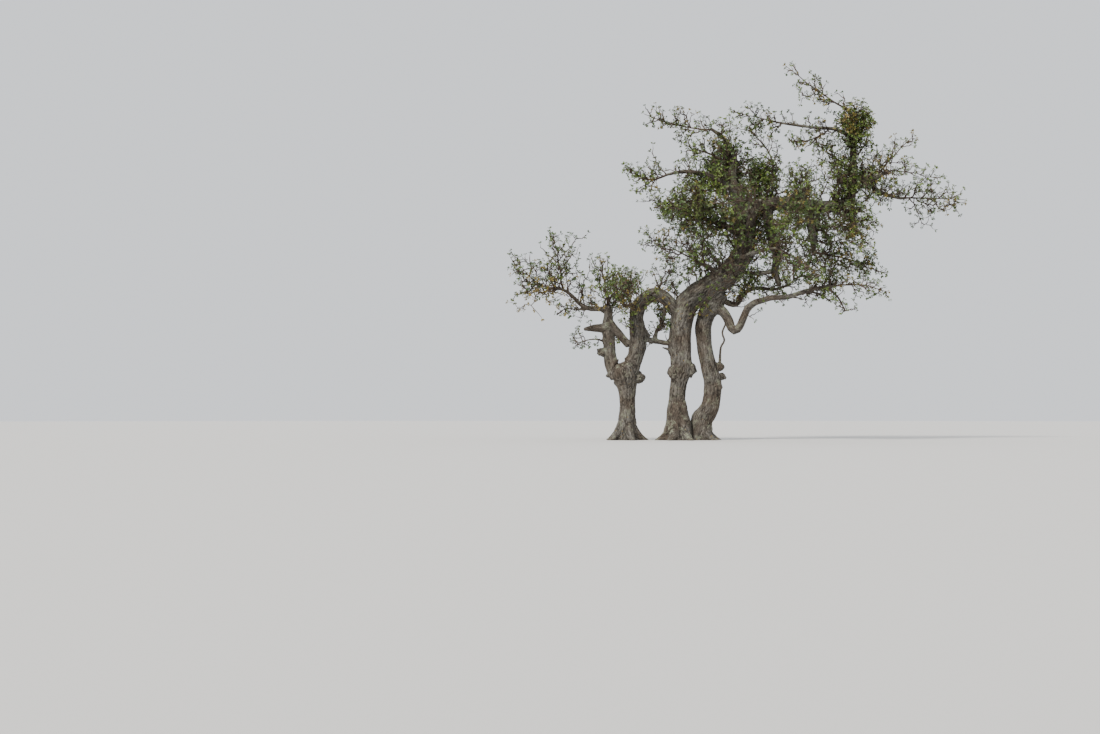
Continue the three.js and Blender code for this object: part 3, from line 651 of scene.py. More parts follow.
# The thin boughs that carry the crown's lower and outer parts, to the left and to the front,
# the back and the right. Their bark is smoother, because plates come with age.
thin_boughs = {
    "left_crown_bough": {"path": [
        (0.77, -0.025, 3.34, 0.05), (0.55, -0.12, 3.48, 0.042), (0.32, -0.2, 3.57, 0.034),
        (0.03, -0.28, 3.59, 0.026), (-0.21, -0.33, 3.54, 0.018),
    ]},
    "left_middle_bough": {"path": [
        (0.83, 0.02, 2.77, 0.056), (0.64, 0.13, 2.91, 0.044), (0.44, 0.24, 3, 0.032),
        (0.3, 0.32, 3.06, 0.024),
    ]},
    "left_lower_bough": {"path": [
        (0.56, -0.02, 2.2, 0.04), (0.39, -0.13, 2.32, 0.031), (0.21, -0.24, 2.39, 0.023),
    ]},
    "middle_bough": {"path": [
        (0.54, 0.03, 1.91, 0.048), (0.77, 0.12, 1.84, 0.036), (0.9, 0.2, 2, 0.032),
        (1.08, 0.3, 2.08, 0.027), (1.34, 0.42, 2.07, 0.022), (1.57, 0.52, 2.15, 0.017),
    ]},
    "lower_bough": {
        "path": [
            (1.02, -0.24, 1.85, 0.042), (1.2, -0.27, 1.9, 0.038), (1.41, -0.32, 1.91, 0.035),
            (1.64, -0.38, 1.98, 0.028), (1.84, -0.43, 2.03, 0.022), (2.02, -0.46, 2.04, 0.017),
        ],
        "branches": [
            [(1.89, -0.44, 2.04, 0.02), (2.05, -0.45, 1.9, 0.015), (2.15, -0.45, 1.71, 0.008)],
            [(1.64, -0.375, 1.975, 0.016), (1.82, -0.34, 1.95, 0.012), (1.99, -0.32, 1.84, 0.007)],
        ],
    },
    "front_bough": {"path": [
        (0.915, -0.02, 2.8, 0.066), (0.94, -0.33, 2.96, 0.046), (0.96, -0.64, 3.06, 0.032),
        (0.965, -0.92, 3.115, 0.019),
    ]},
    "back_bough": {"path": [
        (0.915, 0.04, 2.9, 0.066), (0.93, 0.35, 3.18, 0.046), (0.94, 0.66, 3.39, 0.032),
        (0.95, 0.94, 3.52, 0.019),
    ]},
    "front_right_bough": {"path": [
        (1.5, -0.03, 3.21, 0.058), (1.56, -0.31, 3.3, 0.04), (1.61, -0.6, 3.31, 0.028),
        (1.632, -0.88, 3.27, 0.017),
    ]},
    "back_right_bough": {"path": [
        (1.95, 0.02, 3.175, 0.054), (2.09, 0.3, 3.2, 0.038), (2.24, 0.58, 3.18, 0.027),
        (2.39, 0.86, 3.15, 0.017),
    ]},
    "front_lower_bough": {"path": [
        (0.76, -0.03, 2.4, 0.05), (0.92, -0.32, 2.48, 0.036), (1.07, -0.6, 2.51, 0.025),
        (1.205, -0.85, 2.5, 0.016),
    ]},
    "back_lower_bough": {"path": [
        (0.6, 0.03, 2.23, 0.05), (0.59, 0.33, 2.38, 0.036), (0.585, 0.61, 2.48, 0.026),
        (0.58, 0.88, 2.545, 0.017),
    ]},
}
grow_wood("thin_boughs", thin_boughs, cell=0.0065)


# The twigs. Each mass of the crown grows from its limb's end, or from a root on its side, to its
# tip, and bows on the way. Its leading twig and first side shoots are the source's own, by the same
# rule and seeds, and the finer twigs are grown on from them within the same free space.
MASS_KNOTS = (0.5, 1, 0.92, 0.5)  # the free space's radius at even steps, by the mass's spread
ROOT_SUNK = 0.025  # how far a leading twig starts inside its bough's end
TWIG_SPANS = 6
ZIGZAG = 0.013  # how far a leading twig steps aside at each knee
TWIG_TIP = 0.0035
GOLDEN_ANGLE = math.radians(137.5)
TURN_SPREAD = math.radians(34)
SIDE_ANGLE, SIDE_ANGLE_SPREAD = math.radians(58), math.radians(28)
SIDE_REACH = (0.45, 0.78)
SIDE_BEND = 0.16
SIDE_TAPER = 0.62
SHOOT_MIN = 0.005
SHOOT_PROBES = np.array([0.25, 0.5, 0.75, 1])  # the shares of its reach at which a twig's room is tried
SPRAY_LENGTH = 0.17
SPRAY_ANGLE = math.radians(48)
SPRAY_PLACES = (0.55, 0.97)
FIRST_CROOK = 0.04
OWN_MARGIN, LIMB_MARGIN, LIMB_SWELL = 0.014, 0.012, 1.1
ROOT_FREE = 0.11  # nearer to its mass's root than this, a twig may touch the bough it stands on

MASS_FIELDS = ("name", "on", "root", "tip", "bow", "spread", "thick", "seed", "full", "leafy")
MASSES = (  # on is its bough, and a root is given where it isn't that bough's end
    ("left_tip_twigs", "left_bough", None, (-2.24, -0.22, 2.45),
     -0.1, 0.31, 0.013, 11, 0.75, 0.6),
    ("left_rising_twigs", "left_bough", (-1.575, -0.09, 2.022), (-1.7, 0.06, 2.77),
     0.02, 0.28, 0.015, 52, 0.75, 0.6),
    ("left_fork_twigs", "left_fork", None, (-1.08, 0.02, 2.49),
     0.02, 0.29, 0.026, 14, 0.75, 0.7),
    ("left_back_twigs", "left_fork", (-0.95, 0.12, 1.72), (-0.65, 0.94, 2.3),
     0.02, 0.32, 0.02, 15, 0.8, 0.65),
    ("left_front_twigs", "inner_fork", (-0.59, -0.01, 1.66), (-0.9, -0.82, 2.1),
     0.045, 0.32, 0.02, 16, 0.8, 0.65),
    ("arch_twigs", "arch_bough", (-0.31, -0.015, 1.96), (-0.15, 0.16, 2.38),
     0.01, 0.23, 0.014, 17, 0.7, 0.4),
    ("lower_left_twigs", "left_lower_bough", None, (-0.41, -0.48, 2.67),
     0.01, 0.36, 0.013, 18, 0.95, 0.45),
    ("lower_left_back_twigs", "back_lower_bough", None, (0.33, 1.18, 2.96),
     0, 0.37, 0.015, 19, 0.75, 0.35),
    ("left_middle_twigs", "left_middle_bough", (0.5, 0.21, 2.975), (-0.13, 0.59, 3.27),
     0.02, 0.35, 0.015, 20, 1.1, 1.3),
    ("left_crown_twigs", "left_crown_bough", None, (-0.75, -0.42, 3.66),
     -0.11, 0.24, 0.015, 21, 0.9, 0.9),
    ("left_shoulder_twigs", "left_crown_bough", (0.52, -0.132, 3.49), (-0.2, -0.64, 3.03),
     -0.04, 0.37, 0.018, 22, 0.95, 1.1),
    ("upper_left_tip_twigs", "upper_left_limb", None, (-0.45, 0.4, 4.5),
     -0.04, 0.26, 0.013, 23, 0.85, 0.7),
    ("upper_left_knob_twigs", "upper_left_limb", (0.722, 0, 3.7), (0.12, -0.3, 3.9),
     0.04, 0.31, 0.026, 24, 0.7, 0.8),
    ("heart_twigs", "upper_left_limb", (0.712, -0.03, 3.53), (0.6, 0.7, 3.74),
     0, 0.35, 0.026, 25, 1.5, 1.5),
    ("middle_top_twigs", "upper_limb", (1.3, -0.005, 3.2), (1.06, 0.38, 3.68),
     0.06, 0.31, 0.02, 26, 1.4, 1.4),
    ("upper_limb_twigs", "upper_limb", (1.65, -0.005, 3.185), (1.54, -0.56, 3.54),
     0.03, 0.31, 0.02, 27, 0.75, 1),
    ("top_left_twigs", "top_left_bough", None, (0.81, 0.36, 4.52),
     0, 0.2, 0.011, 28, 0.95, 0.7),
    ("top_middle_twigs", "top_left_bough", (2.07, 0.15, 4.248), (1.45, -0.3, 4),
     -0.06, 0.23, 0.013, 29, 0.7, 0.5),
    ("top_tip_twigs", "right_leader", None, (1.43, -0.09, 5.06),
     -0.02, 0.21, 0.016, 30, 0.8, 0.5),
    ("right_leader_twigs", "right_leader", (2.362, 0.03, 3.87), (2.32, -0.4, 4.45),
     -0.02, 0.29, 0.02, 31, 1.35, 1.2),
    ("leader_left_twigs", "right_leader", (2.365, 0.03, 3.65), (1.99, 0.48, 4.06),
     0, 0.29, 0.02, 32, 0.9, 1),
    ("right_upper_twigs", "right_upper_bough", (2.64, -0.135, 3.54), (3.09, -0.34, 4.05),
     0.03, 0.31, 0.013, 33, 0.6, 0.4),
    ("right_tip_twigs", "right_lower_bough", None, (3.97, 0.4, 3.31),
     0.01, 0.34, 0.013, 34, 0.75, 0.5),
    ("right_middle_twigs", "upper_limb", (2.285, 0.015, 3.235), (2.39, -0.44, 2.6),
     0.02, 0.31, 0.024, 36, 0.85, 0.9),
    ("right_lower_twigs", "drooping_bough", None, (2.72, 0.36, 2.33),
     0.04, 0.33, 0.019, 37, 1.15, 0.6),
    ("lower_bough_twigs", "lower_bough", None, (2.7, -0.5, 1.96),
     0.05, 0.24, 0.013, 38, 0.75, 0.5),
    ("middle_lower_twigs", "middle_bough", None, (2.09, 0.8, 2.57),
     0, 0.3, 0.013, 43, 1.05, 0.5),
    ("front_twigs", "front_bough", None, (0.45, -1.28, 3.02),
     0.02, 0.37, 0.016, 39, 0.7, 0.6),
    ("back_twigs", "back_bough", None, (1.4, 1.33, 3.78),
     0, 0.37, 0.016, 140, 0.7, 0.6),
    ("front_right_twigs", "front_right_bough", None, (1.24, -1.15, 2.71),
     0.04, 0.36, 0.015, 41, 1, 0.8),
    ("back_right_twigs", "back_right_bough", None, (2.79, 1.22, 3.01),
     0.03, 0.35, 0.015, 144, 0.7, 0.55),
    ("front_lower_twigs", "front_lower_bough", None, (1.62, -1.1, 2.19),
     0.02, 0.35, 0.014, 142, 0.75, 0.5),
)


def leaving(along, turn, angle):
    """The directions that leave the given ones by an angle, on the side that a turn round them gives."""
    side = sideways(along)
    across = np.cross(along, side)
    out = side * np.cos(turn)[:, None] + across * np.sin(turn)[:, None]
    return along * np.cos(angle)[:, None] + out * np.sin(angle)[:, None]


def random_stream(seed):
    """The source's own pseudo-random numbers, from 0 to 1, by the rule called mulberry32."""
    whole = 0xFFFFFFFF
    state = seed
    while True:
        state = (state + 0x6D2B79F5) & whole
        t = (state ^ (state >> 15)) * (1 | state) & whole
        t = ((t + ((t ^ (t >> 7)) * (61 | t) & whole)) ^ t) & whole
        yield (t ^ (t >> 14)) / (whole + 1)


def even_rings(path, spans):
    places = np.arange(spans + 1) / spans * (len(path) - 1)
    return through(path[:, :3], places), np.interp(places, np.arange(len(path)), path[:, 3])


masses = [dict(zip(MASS_FIELDS, row)) for row in MASSES]

for mass in masses:
    inner, end = (np.array(point[:3]) for point in limb_paths[mass["on"]][-2:])
    start = np.array(mass["root"]) if mass["root"] else end + unit(inner - end) * ROOT_SUNK
    last = len(MASS_KNOTS) - 1
    knots = []
    for k, share in enumerate(MASS_KNOTS):
        at = start + (np.array(mass["tip"]) - start) * k / last
        at[2] += mass["bow"] if 0 < k < last else 0
        knots.append([*at, share * mass["spread"]])
    mass["path"] = np.array(knots)
    mass["space"] = even_rings(mass["path"], 2 * TWIG_SPANS)

mass_limb = np.array([list(limb_rings).index(mass["on"]) for mass in masses])
mass_root = np.array([mass["path"][0, :3] for mass in masses])
bark_lines = [(k, line) for k, lines in enumerate(limb_rings.values()) for line in lines]
bark_at = np.vstack([line.at for _, line in bark_lines])
bark_radius = np.concatenate([line.radius for _, line in bark_lines])
bark_limb = np.concatenate([[k] * len(line.at) for k, line in bark_lines])


def free(points, owner):
    """Whether each point is in its own mass's space, nearer to it than to any other's, and off the bark."""
    spaces = [mass["space"] for mass in masses]
    depth = np.array([(distances(points, at) - radius).min(1) for at, radius in spaces])
    rows = np.arange(len(points))
    own = depth[owner, rows]
    depth[owner, rows] = np.inf
    good = (own <= 0) & (depth.min(0) > own + 2 * OWN_MARGIN)
    near_root = np.linalg.norm(points - mass_root[owner], axis=1) < ROOT_FREE
    for start in range(0, len(points), POINTS_AT_ONCE):
        part = slice(start, start + POINTS_AT_ONCE)
        touching = distances(points[part], bark_at) <= bark_radius * LIMB_SWELL + LIMB_MARGIN
        touching &= ~(near_root[part, None] & (bark_limb == mass_limb[owner[part], None]))
        good[part] &= ~touching.any(1)
    return good


KNEES = 6  # a twig runs straight from knee to knee
TWIG = np.dtype([
    ("root", float, 3), ("heading", float, 3), ("reach", float), ("thick", float), ("tip", float),
    ("room", float), ("bend", float), ("crook", float), ("knee", float, (KNEES + 1, 2)),
    ("mass", int), ("spray", int),
])
ON_BOUGH = -1  # the mass number of a sprig, which stands on a bough
chance = np.random.default_rng(20)


def twig_rows(**columns):
    """Twigs as the rows of one table. The room is the length that a twig's side twigs are a share of."""
    rows = np.zeros(len(columns["root"]), TWIG)
    rows["bend"] = SIDE_BEND
    wander = chance.normal(size=(len(rows), KNEES, 2))
    wander[:, 1:] -= 0.5 * wander[:, :-1]  # half of a kink to one side is made good by the next
    rows["knee"][:, 1:] = np.cumsum(wander, axis=1)
    for name, values in columns.items():
        rows[name] = values
    return rows


def on_twigs(twigs, share):
    """The points at a share of the twigs' reach. Each is kinked at its knees, and turns up as it goes."""
    out = twigs["reach"] * share
    place = np.broadcast_to(np.clip(share, 0, 1) * KNEES, len(twigs))
    knee = np.minimum(place.astype(int), KNEES - 1)
    part = (place - knee)[:, None]
    rows = np.arange(len(twigs))
    aside = twigs["knee"][rows, knee] * (1 - part) + twigs["knee"][rows, knee + 1] * part
    aside *= (twigs["crook"] * twigs["reach"])[:, None]
    side = sideways(twigs["heading"])
    at = twigs["root"] + twigs["heading"] * out[:, None] + side * aside[:, :1]
    at += np.cross(twigs["heading"], side) * aside[:, 1:]
    at[:, 2] += twigs["bend"] * out * share
    return at


BOX_MARGIN = 0.03  # no twig passes the solids' own reach by more
box_low, box_high = np.array(cad_box[0]) - BOX_MARGIN, np.array(cad_box[1]) + BOX_MARGIN


def fitting(twigs):
    """The twigs that stay in the box and in their mass's space. One on a bough only keeps off the bark."""
    good = np.ones(len(twigs), bool)
    on_bough = twigs["mass"] == ON_BOUGH
    for share in SHOOT_PROBES:
        at = on_twigs(twigs, share)
        good &= ((at > box_low) & (at < box_high)).all(1)
        grown = good & ~on_bough
        good[grown] = free(at[grown], twigs["mass"][grown])
        if share > SHOOT_PROBES[0]:
            sprig = good & on_bough
            gap = distances(at[sprig], bark_at) - bark_radius * LIMB_SWELL
            good[sprig] = (gap > LIMB_MARGIN).all(1)
    return twigs[good]


leaders, spans, first_shoots, spray_places = [], [], [], []
for m, mass in enumerate(masses):
    stream = random_stream(mass["seed"])
    at, space = even_rings(mass["path"], TWIG_SPANS)
    along = unit(np.gradient(at, axis=0))
    side = sideways(along)
    lean = np.array([0, *[ZIGZAG] * (TWIG_SPANS - 1), 0])
    knee = np.where(np.arange(TWIG_SPANS + 1) % 2, lean, -lean)
    sway = np.array([next(stream) - 0.5 for _ in lean]) * lean
    at = at + side * knee[:, None] + np.cross(along, side) * sway[:, None]
    radius = mass["thick"] + (TWIG_TIP - mass["thick"]) * np.arange(TWIG_SPANS + 1) / TWIG_SPANS
    leaders.append((at, radius))
    step = np.diff(at, axis=0)
    spans.append(twig_rows(
        root=at[:-1], heading=unit(step), reach=np.linalg.norm(step, axis=1), thick=radius[:-1],
        tip=radius[1:], room=(space[:-1] + space[1:]) / 2, bend=0, mass=m,
    ))
    along = unit(np.gradient(at, axis=0))
    for i in range(1, TWIG_SPANS):
        turn = i * GOLDEN_ANGLE + (next(stream) - 0.5) * TURN_SPREAD
        angle = SIDE_ANGLE + (next(stream) - 0.5) * SIDE_ANGLE_SPREAD
        heading = leaving(along[i : i + 1], np.array([turn]), np.array([angle]))
        reach = space[i] * (SIDE_REACH[0] + (SIDE_REACH[1] - SIDE_REACH[0]) * next(stream))
        root_radius = max(SHOOT_MIN, radius[i] * SIDE_TAPER)
        shoot = twig_rows(
            root=at[i : i + 1], heading=heading, reach=reach, room=reach,
            thick=root_radius, tip=TWIG_TIP, mass=m,
        )
        turns = [(next(stream) + k) * math.pi for k in range(len(SPRAY_PLACES))]
        if len(fitting(shoot)):
            shoot["crook"] = FIRST_CROOK
            first_shoots.append(shoot)
            places = zip(SPRAY_PLACES, turns)
            sprays = [(on_twigs(shoot, share)[0], heading, turn) for share, turn in places]
        else:
            sprays = [(at[i], along[i : i + 1], turns[0])]
        for root, stem, turn in sprays:
            spray_places.append((root, leaving(stem, np.array([turn]), np.array([SPRAY_ANGLE]))[0], m))
            next(stream)
    turn = np.array([next(stream) * math.pi])
    spray_places.append((at[-1], leaving(along[-1:], turn, np.array([SPRAY_ANGLE]))[0], m))
    spray_places.append((at[-1], along[-1], m))
spans = np.concatenate(spans)
first_shoots = np.concatenate(first_shoots)


# The rule carried on. Every twig bears side twigs that turn on round it by the golden angle, each
# shorter and thinner, drawn a little towards the light. What would leave its mass's space or touch
# a limb is skipped. A full mass bears more, and a thin one fewer.
LIGHT = 0.16  # how much a side twig's direction is raised
FINE_TIP = 0.0036
SHOOT_CROOK, TWIG_CROOK = 0.06, 0.07
SPRAY_REACH = 0.95  # a spray's twig, by the source's length of a spray
SPRIG_FULL = 0.75
fullness = np.array([mass["full"] for mass in masses] + [SPRIG_FULL])  # ON_BOUGH picks the last


def spread(low, high, count):
    """So many random numbers from low to high."""
    return low + (high - low) * chance.random(count)


def side_angles(count):
    return SIDE_ANGLE + (chance.random(count) - 0.5) * SIDE_ANGLE_SPREAD


def numbered(counts):
    """The parent of each child, and the child's number on it, where each parent has so many children."""
    parent = np.repeat(np.arange(len(counts)), counts)
    return parent, np.arange(len(parent)) - np.repeat(np.cumsum(counts) - counts, counts)


def golden_turns(row, k, parents):
    """The turn of child k round its parent: a golden angle on from the one before."""
    return k * GOLDEN_ANGLE + (chance.random(len(parents)) * 2 * math.pi)[row]


def sprout(parents, spacing, first, reach, thick, tip, crook=0.0):
    """Side twigs about a spacing apart on each parent, from a first share of its reach outwards."""
    number = parents["reach"] * (1 - first) / spacing * fullness[parents["mass"]]
    counts = np.round(number + chance.random(len(parents)) - 0.5).astype(int)
    row, k = numbered(counts)
    share = first + (1 - first) * (k + chance.random(len(k))) / counts[row]
    turn = golden_turns(row, k, parents)
    heading = leaving(parents["heading"][row], turn, side_angles(len(k)))
    heading[:, 2] += LIGHT
    length = spread(*reach, len(k)) * parents["room"][row]
    grown = twig_rows(
        root=on_twigs(parents[row], share), heading=unit(heading), reach=length,
        thick=thick, tip=tip, crook=crook, mass=parents["mass"][row], spray=parents["spray"][row],
    )
    grown["room"] = grown["reach"]
    return fitting(grown)


more_shoots = sprout(
    spans, spacing=0.055, first=0, reach=(0.65, 1.25), thick=0.0112, tip=0.005, crook=SHOOT_CROOK
)
spray_root, spray_heading, spray_mass = (np.array(column) for column in zip(*spray_places))
sprays = fitting(twig_rows(
    root=spray_root, heading=spray_heading, reach=SPRAY_LENGTH * SPRAY_REACH, room=SPRAY_LENGTH,
    thick=0.0078, tip=FINE_TIP, crook=SHOOT_CROOK, mass=spray_mass,
))


# The sprigs: side twigs that stand on the boughs themselves, all round them, and turn up to the light.
# They fill the crown between the masses, and all of them keep off the bark.
SPRIGS = (  # bough, which of its lines, about how many to a metre, from and to which share, longest
    ("main_trunk", 0, 40, 0.44, 0.6, 0.3), ("main_trunk", 0, 60, 0.6, 0.76, 0.36),
    ("main_trunk", 0, 65, 0.76, 0.97, 0.42), ("main_trunk", 0, 70, 0.84, 0.95, 0.14),
    ("hanging_limb", 0, 60, 0.1, 0.6, 0.14), ("main_trunk", 2, 9, 0.3, 0.9, 0.12),
    ("main_trunk", 3, 45, 0.1, 1, 0.19), ("brace_limb", 0, 34, 0.1, 0.95, 0.26),
    ("hanging_limb", 0, 26, 0.05, 0.95, 0.34), ("upper_limb", 0, 30, 0.05, 1, 0.36),
    ("upper_limb", 0, 60, 0.75, 0.95, 0.42), ("upper_limb", 1, 30, 0.3, 1, 0.2),
    ("drooping_bough", 0, 50, 0.2, 1, 0.42), ("right_leader", 0, 28, 0.05, 0.9, 0.28),
    ("right_leader", 0, 60, 0.02, 0.25, 0.34), ("upper_left_limb", 0, 30, 0.2, 0.93, 0.26),
    ("upper_left_limb", 0, 110, 0.52, 0.68, 0.2), ("top_left_bough", 0, 18, 0.1, 1, 0.21),
    ("right_upper_bough", 0, 26, 0, 1, 0.34), ("right_lower_bough", 0, 19, 0.05, 1, 0.3),
    ("right_lower_bough", 0, 60, 0, 0.4, 0.3), ("left_crown_bough", 0, 24, 0.15, 1, 0.3),
    ("left_middle_bough", 0, 26, 0.05, 1, 0.36), ("left_middle_bough", 0, 60, 0.3, 0.9, 0.2),
    ("left_lower_bough", 0, 34, 0.1, 1, 0.4), ("lower_bough", 0, 12, 0.2, 1, 0.24),
    ("lower_bough", 0, 50, 0.72, 1, 0.3), ("lower_bough", 1, 20, 0.15, 1, 0.15),
    ("lower_bough", 2, 20, 0.15, 1, 0.15), ("middle_bough", 0, 26, 0.05, 1, 0.28),
    ("hooked_bough", 0, 3, 0.6, 1, 0.16), ("arch_bough", 0, 32, 0.05, 0.95, 0.26),
    ("left_bough", 0, 17, 0.05, 1, 0.34), ("left_bough", 0, 60, 0.93, 1, 0.5),
    ("left_bough", 1, 20, 0.3, 1, 0.13), ("left_fork", 0, 12, 0.5, 1, 0.3),
    ("left_fork", 1, 24, 0.2, 1, 0.13), ("left_fork", 2, 7, 0.3, 0.9, 0.1),
    ("left_fork", 3, 18, 0.1, 0.8, 0.22), ("inner_fork", 0, 12, 0.55, 1, 0.28),
    *((bough, 0, 10, 0.4, 1, 0.26) for bough in (
        "front_bough", "back_bough", "front_right_bough", "back_right_bough", "front_lower_bough",
        "back_lower_bough",
    )),
)
SPRIG_SHORTEST, SPRIG_LENGTHS = 0.08, 1.3  # metres, and the power by which short ones are more common
SPRIG_ANGLE = (0.8, 1.3)  # by the side angle
SPRIG_LIGHT, SPRIG_SUNK = 0.3, 0.004
SPRIG_THICK = (0.0055, 0.02)  # at its root: least, and by its reach
sprig_root, sprig_heading, sprig_reach = [], [], []
for bough, which, number, first, last, longest in SPRIGS:
    line = limb_rings[bough][which]
    length = line.run[-1] * (last - first)
    places = (first + (last - first) * chance.random(round(number * length))) * line.run[-1]
    k = np.searchsorted(line.run, places).clip(1, len(line.run) - 1)
    part = ((places - line.run[k - 1]) / (line.run[k] - line.run[k - 1]))[:, None]
    middle = line.at[k - 1] * (1 - part) + line.at[k] * part
    radius = np.interp(places, line.run, line.radius)
    turn = 2 * math.pi * chance.random(len(k))
    out = leaving(line.along[k], turn, np.full(len(k), math.pi / 2))
    heading = leaving(line.along[k], turn, SIDE_ANGLE * spread(*SPRIG_ANGLE, len(k)))
    heading[:, 2] += SPRIG_LIGHT
    sprig_root.append(middle + out * (radius - SPRIG_SUNK)[:, None])
    sprig_heading.append(unit(heading))
    further = chance.random(len(k)) ** SPRIG_LENGTHS
    sprig_reach.append(SPRIG_SHORTEST + (longest - SPRIG_SHORTEST) * further)
sprig_reach = np.concatenate(sprig_reach)
sprigs = fitting(twig_rows(
    root=np.concatenate(sprig_root), heading=np.concatenate(sprig_heading), reach=sprig_reach,
    room=sprig_reach, thick=SPRIG_THICK[0] + SPRIG_THICK[1] * sprig_reach, tip=FINE_TIP,
    crook=SHOOT_CROOK, mass=ON_BOUGH,
))


# The wands: long thin twigs that show one by one past the edge of the crown. Each has a root, on a
# bough or a leading twig, and a tip. Side twigs grow on all of these by the same rule.
WANDS = (
    ((2.75, -0.21, 3.61), (3.6, 0.05, 3.56)), ((3.25, 0.3, 3.31), (3.36, 0.28, 2.93)),
    ((2, -0.055, 4.67), (1.63, -0.06, 4.65)), ((-1.64, 0, 2.42), (-1.42, 0.02, 2.74)),
    ((-1.69, -0.125, 2.035), (-2.2, -0.2, 1.97)), ((0.862, -0.205, 1.69), (0.97, -0.22, 1.6)),
    ((-0.08, 0.57, 3.26), (-0.38, 0.6, 3.33)), ((-0.12, -0.61, 3.05), (-0.38, -0.6, 3.1)),
)
WAND_ROOM, WAND_CROOK = 0.22, 0.03
WAND_THICK = (0.006, 0.004)  # at its root: least, and by its reach
wand_root, wand_tip = (np.array(ends, float) for ends in zip(*WANDS))
wand_reach = np.linalg.norm(wand_tip - wand_root, axis=1)
wands = twig_rows(
    root=wand_root, heading=unit(wand_tip - wand_root), reach=wand_reach,
    room=np.minimum(wand_reach, WAND_ROOM), thick=WAND_THICK[0] + WAND_THICK[1] * wand_reach,
    tip=FINE_TIP, bend=0, crook=WAND_CROOK, mass=ON_BOUGH,
)

shoots = np.concatenate([first_shoots, more_shoots, sprigs, wands])
shoots["spray"] = np.arange(len(shoots))
sprays["spray"] = len(shoots) + np.arange(len(sprays))
spans["spray"] = len(shoots) + len(sprays) + spans["mass"]
FORKING_TWIG = 0.08  # a side twig longer than this bears twiglets
twigs = sprout(
    shoots, spacing=0.055, first=0.12, reach=(0.4, 0.85), thick=0.0076, tip=FINE_TIP, crook=TWIG_CROOK
)
forking = twigs[twigs["reach"] > FORKING_TWIG]
twiglets = np.concatenate([
    sprout(
        sprays, spacing=0.05, first=0.1, reach=(0.35, 0.65), thick=0.0056, tip=0.003, crook=TWIG_CROOK
    ),
    sprout(
        forking, spacing=0.06, first=0.2, reach=(0.4, 0.75), thick=0.0052, tip=0.0028, crook=TWIG_CROOK
    ),
])


# The twigs as solid wood: thin round shoots that narrow to a bud. The leading twigs and long shoots
# are joined into one piece, their side twigs into a second and the twiglets on those into a third.
def tubes(at, radius, sides):
    """The points and faces of closed tubes, one through each row of rings."""
    count, rings = radius.shape
    along = unit(np.gradient(at, axis=1))
    side = sideways(along[:, 0])
    turn = (np.arange(sides) / sides * 2 * math.pi)[:, None]
    points = np.empty((count, rings, sides, 3))
    for i in range(rings):
        ahead = along[:, i]
        side = unit(side - ahead * (side * ahead).sum(1, keepdims=True))
        out = side[:, None] * np.cos(turn) + np.cross(ahead, side)[:, None] * np.sin(turn)
        points[:, i] = at[:, i, None] + radius[:, i, None, None] * out
    here = np.arange(sides)
    level = sides * np.arange(rings - 1)[:, None]
    low, low_next = level + here, level + (here + 1) % sides
    walls = np.stack([low, low_next, low_next + sides, low + sides], axis=-1).reshape(-1, 4)
    ends = np.stack([here[::-1], here + sides * (rings - 1)])
    first = (np.arange(count) * rings * sides)[:, None, None]
    return points.reshape(-1, 3), [(walls + first).reshape(-1, 4), (ends + first).reshape(-1, sides)]


BUD = 0.4  # a twig's end narrows to its last bud, by this much


def twig_tubes(twigs, rings, sides):
    shares = np.linspace(0, 1, rings)
    at = np.stack([on_twigs(twigs, share) for share in shares], axis=1)
    radius = twigs["thick"][:, None] + (twigs["tip"] - twigs["thick"])[:, None] * shares
    radius[:, -1] *= BUD
    return tubes(at, radius, sides)


def joined(name, parts, material):
    """One piece from many parts, each of points and faces."""
    points, corners, sizes = [], [], []
    count = 0
    for part_points, part_faces in parts:
        for faces in part_faces:
            corners.append((faces + count).ravel())
            sizes.append(np.full(len(faces), faces.shape[1]))
        points.append(part_points)
        count += len(part_points)
    points, corners, sizes = (np.concatenate(lists) for lists in (points, corners, sizes))
    mesh = bpy.data.meshes.new(name)
    mesh.vertices.add(len(points))
    mesh.vertices.foreach_set("co", points.astype(np.float32).ravel())
    mesh.loops.add(len(corners))
    mesh.loops.foreach_set("vertex_index", corners.astype(np.int32))
    mesh.polygons.add(len(sizes))
    mesh.polygons.foreach_set("loop_start", (np.cumsum(sizes) - sizes).astype(np.int32))
    mesh.update(calc_edges=True)
    mesh.materials.append(material)
    piece = placed(name, mesh)
    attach(piece, "root")
    return piece


def twig_bark(name, low, middle, high):
    """Thin smooth bark: a mottled skin with pale breathing pores."""
    material, tree, shader = new_material(name)
    solid = add(tree, "TexCoord").outputs["Object"]
    broad = soft_noise(tree, solid, 7, 4)
    fine = soft_noise(tree, solid, 160, 4, 0.6)
    mottle = add(tree, "Math", {0: broad, 1: fine}, operation="ADD").outputs["Value"]
    skin = ramp(tree, between(tree, mottle, 0.7, 1.3), (0.2, low), (0.5, middle), (0.85, high))
    pores = cell_noise(tree, solid, 210)
    skin = mixed(tree, product(tree, between(tree, pores, 0.22, 0.12), 0.6), skin, (0.27, 0.24, 0.19))
    tree.links.new(skin, shader.inputs["Base Color"])
    shader.inputs["Roughness"].default_value = 0.78
    shader.inputs["Specular IOR Level"].default_value = 0.3
    bump = add(tree, "Bump", {"Strength": 0.4, "Distance": 0.0008, "Height": fine})
    tree.links.new(bump.outputs["Normal"], shader.inputs["Normal"])
    return material


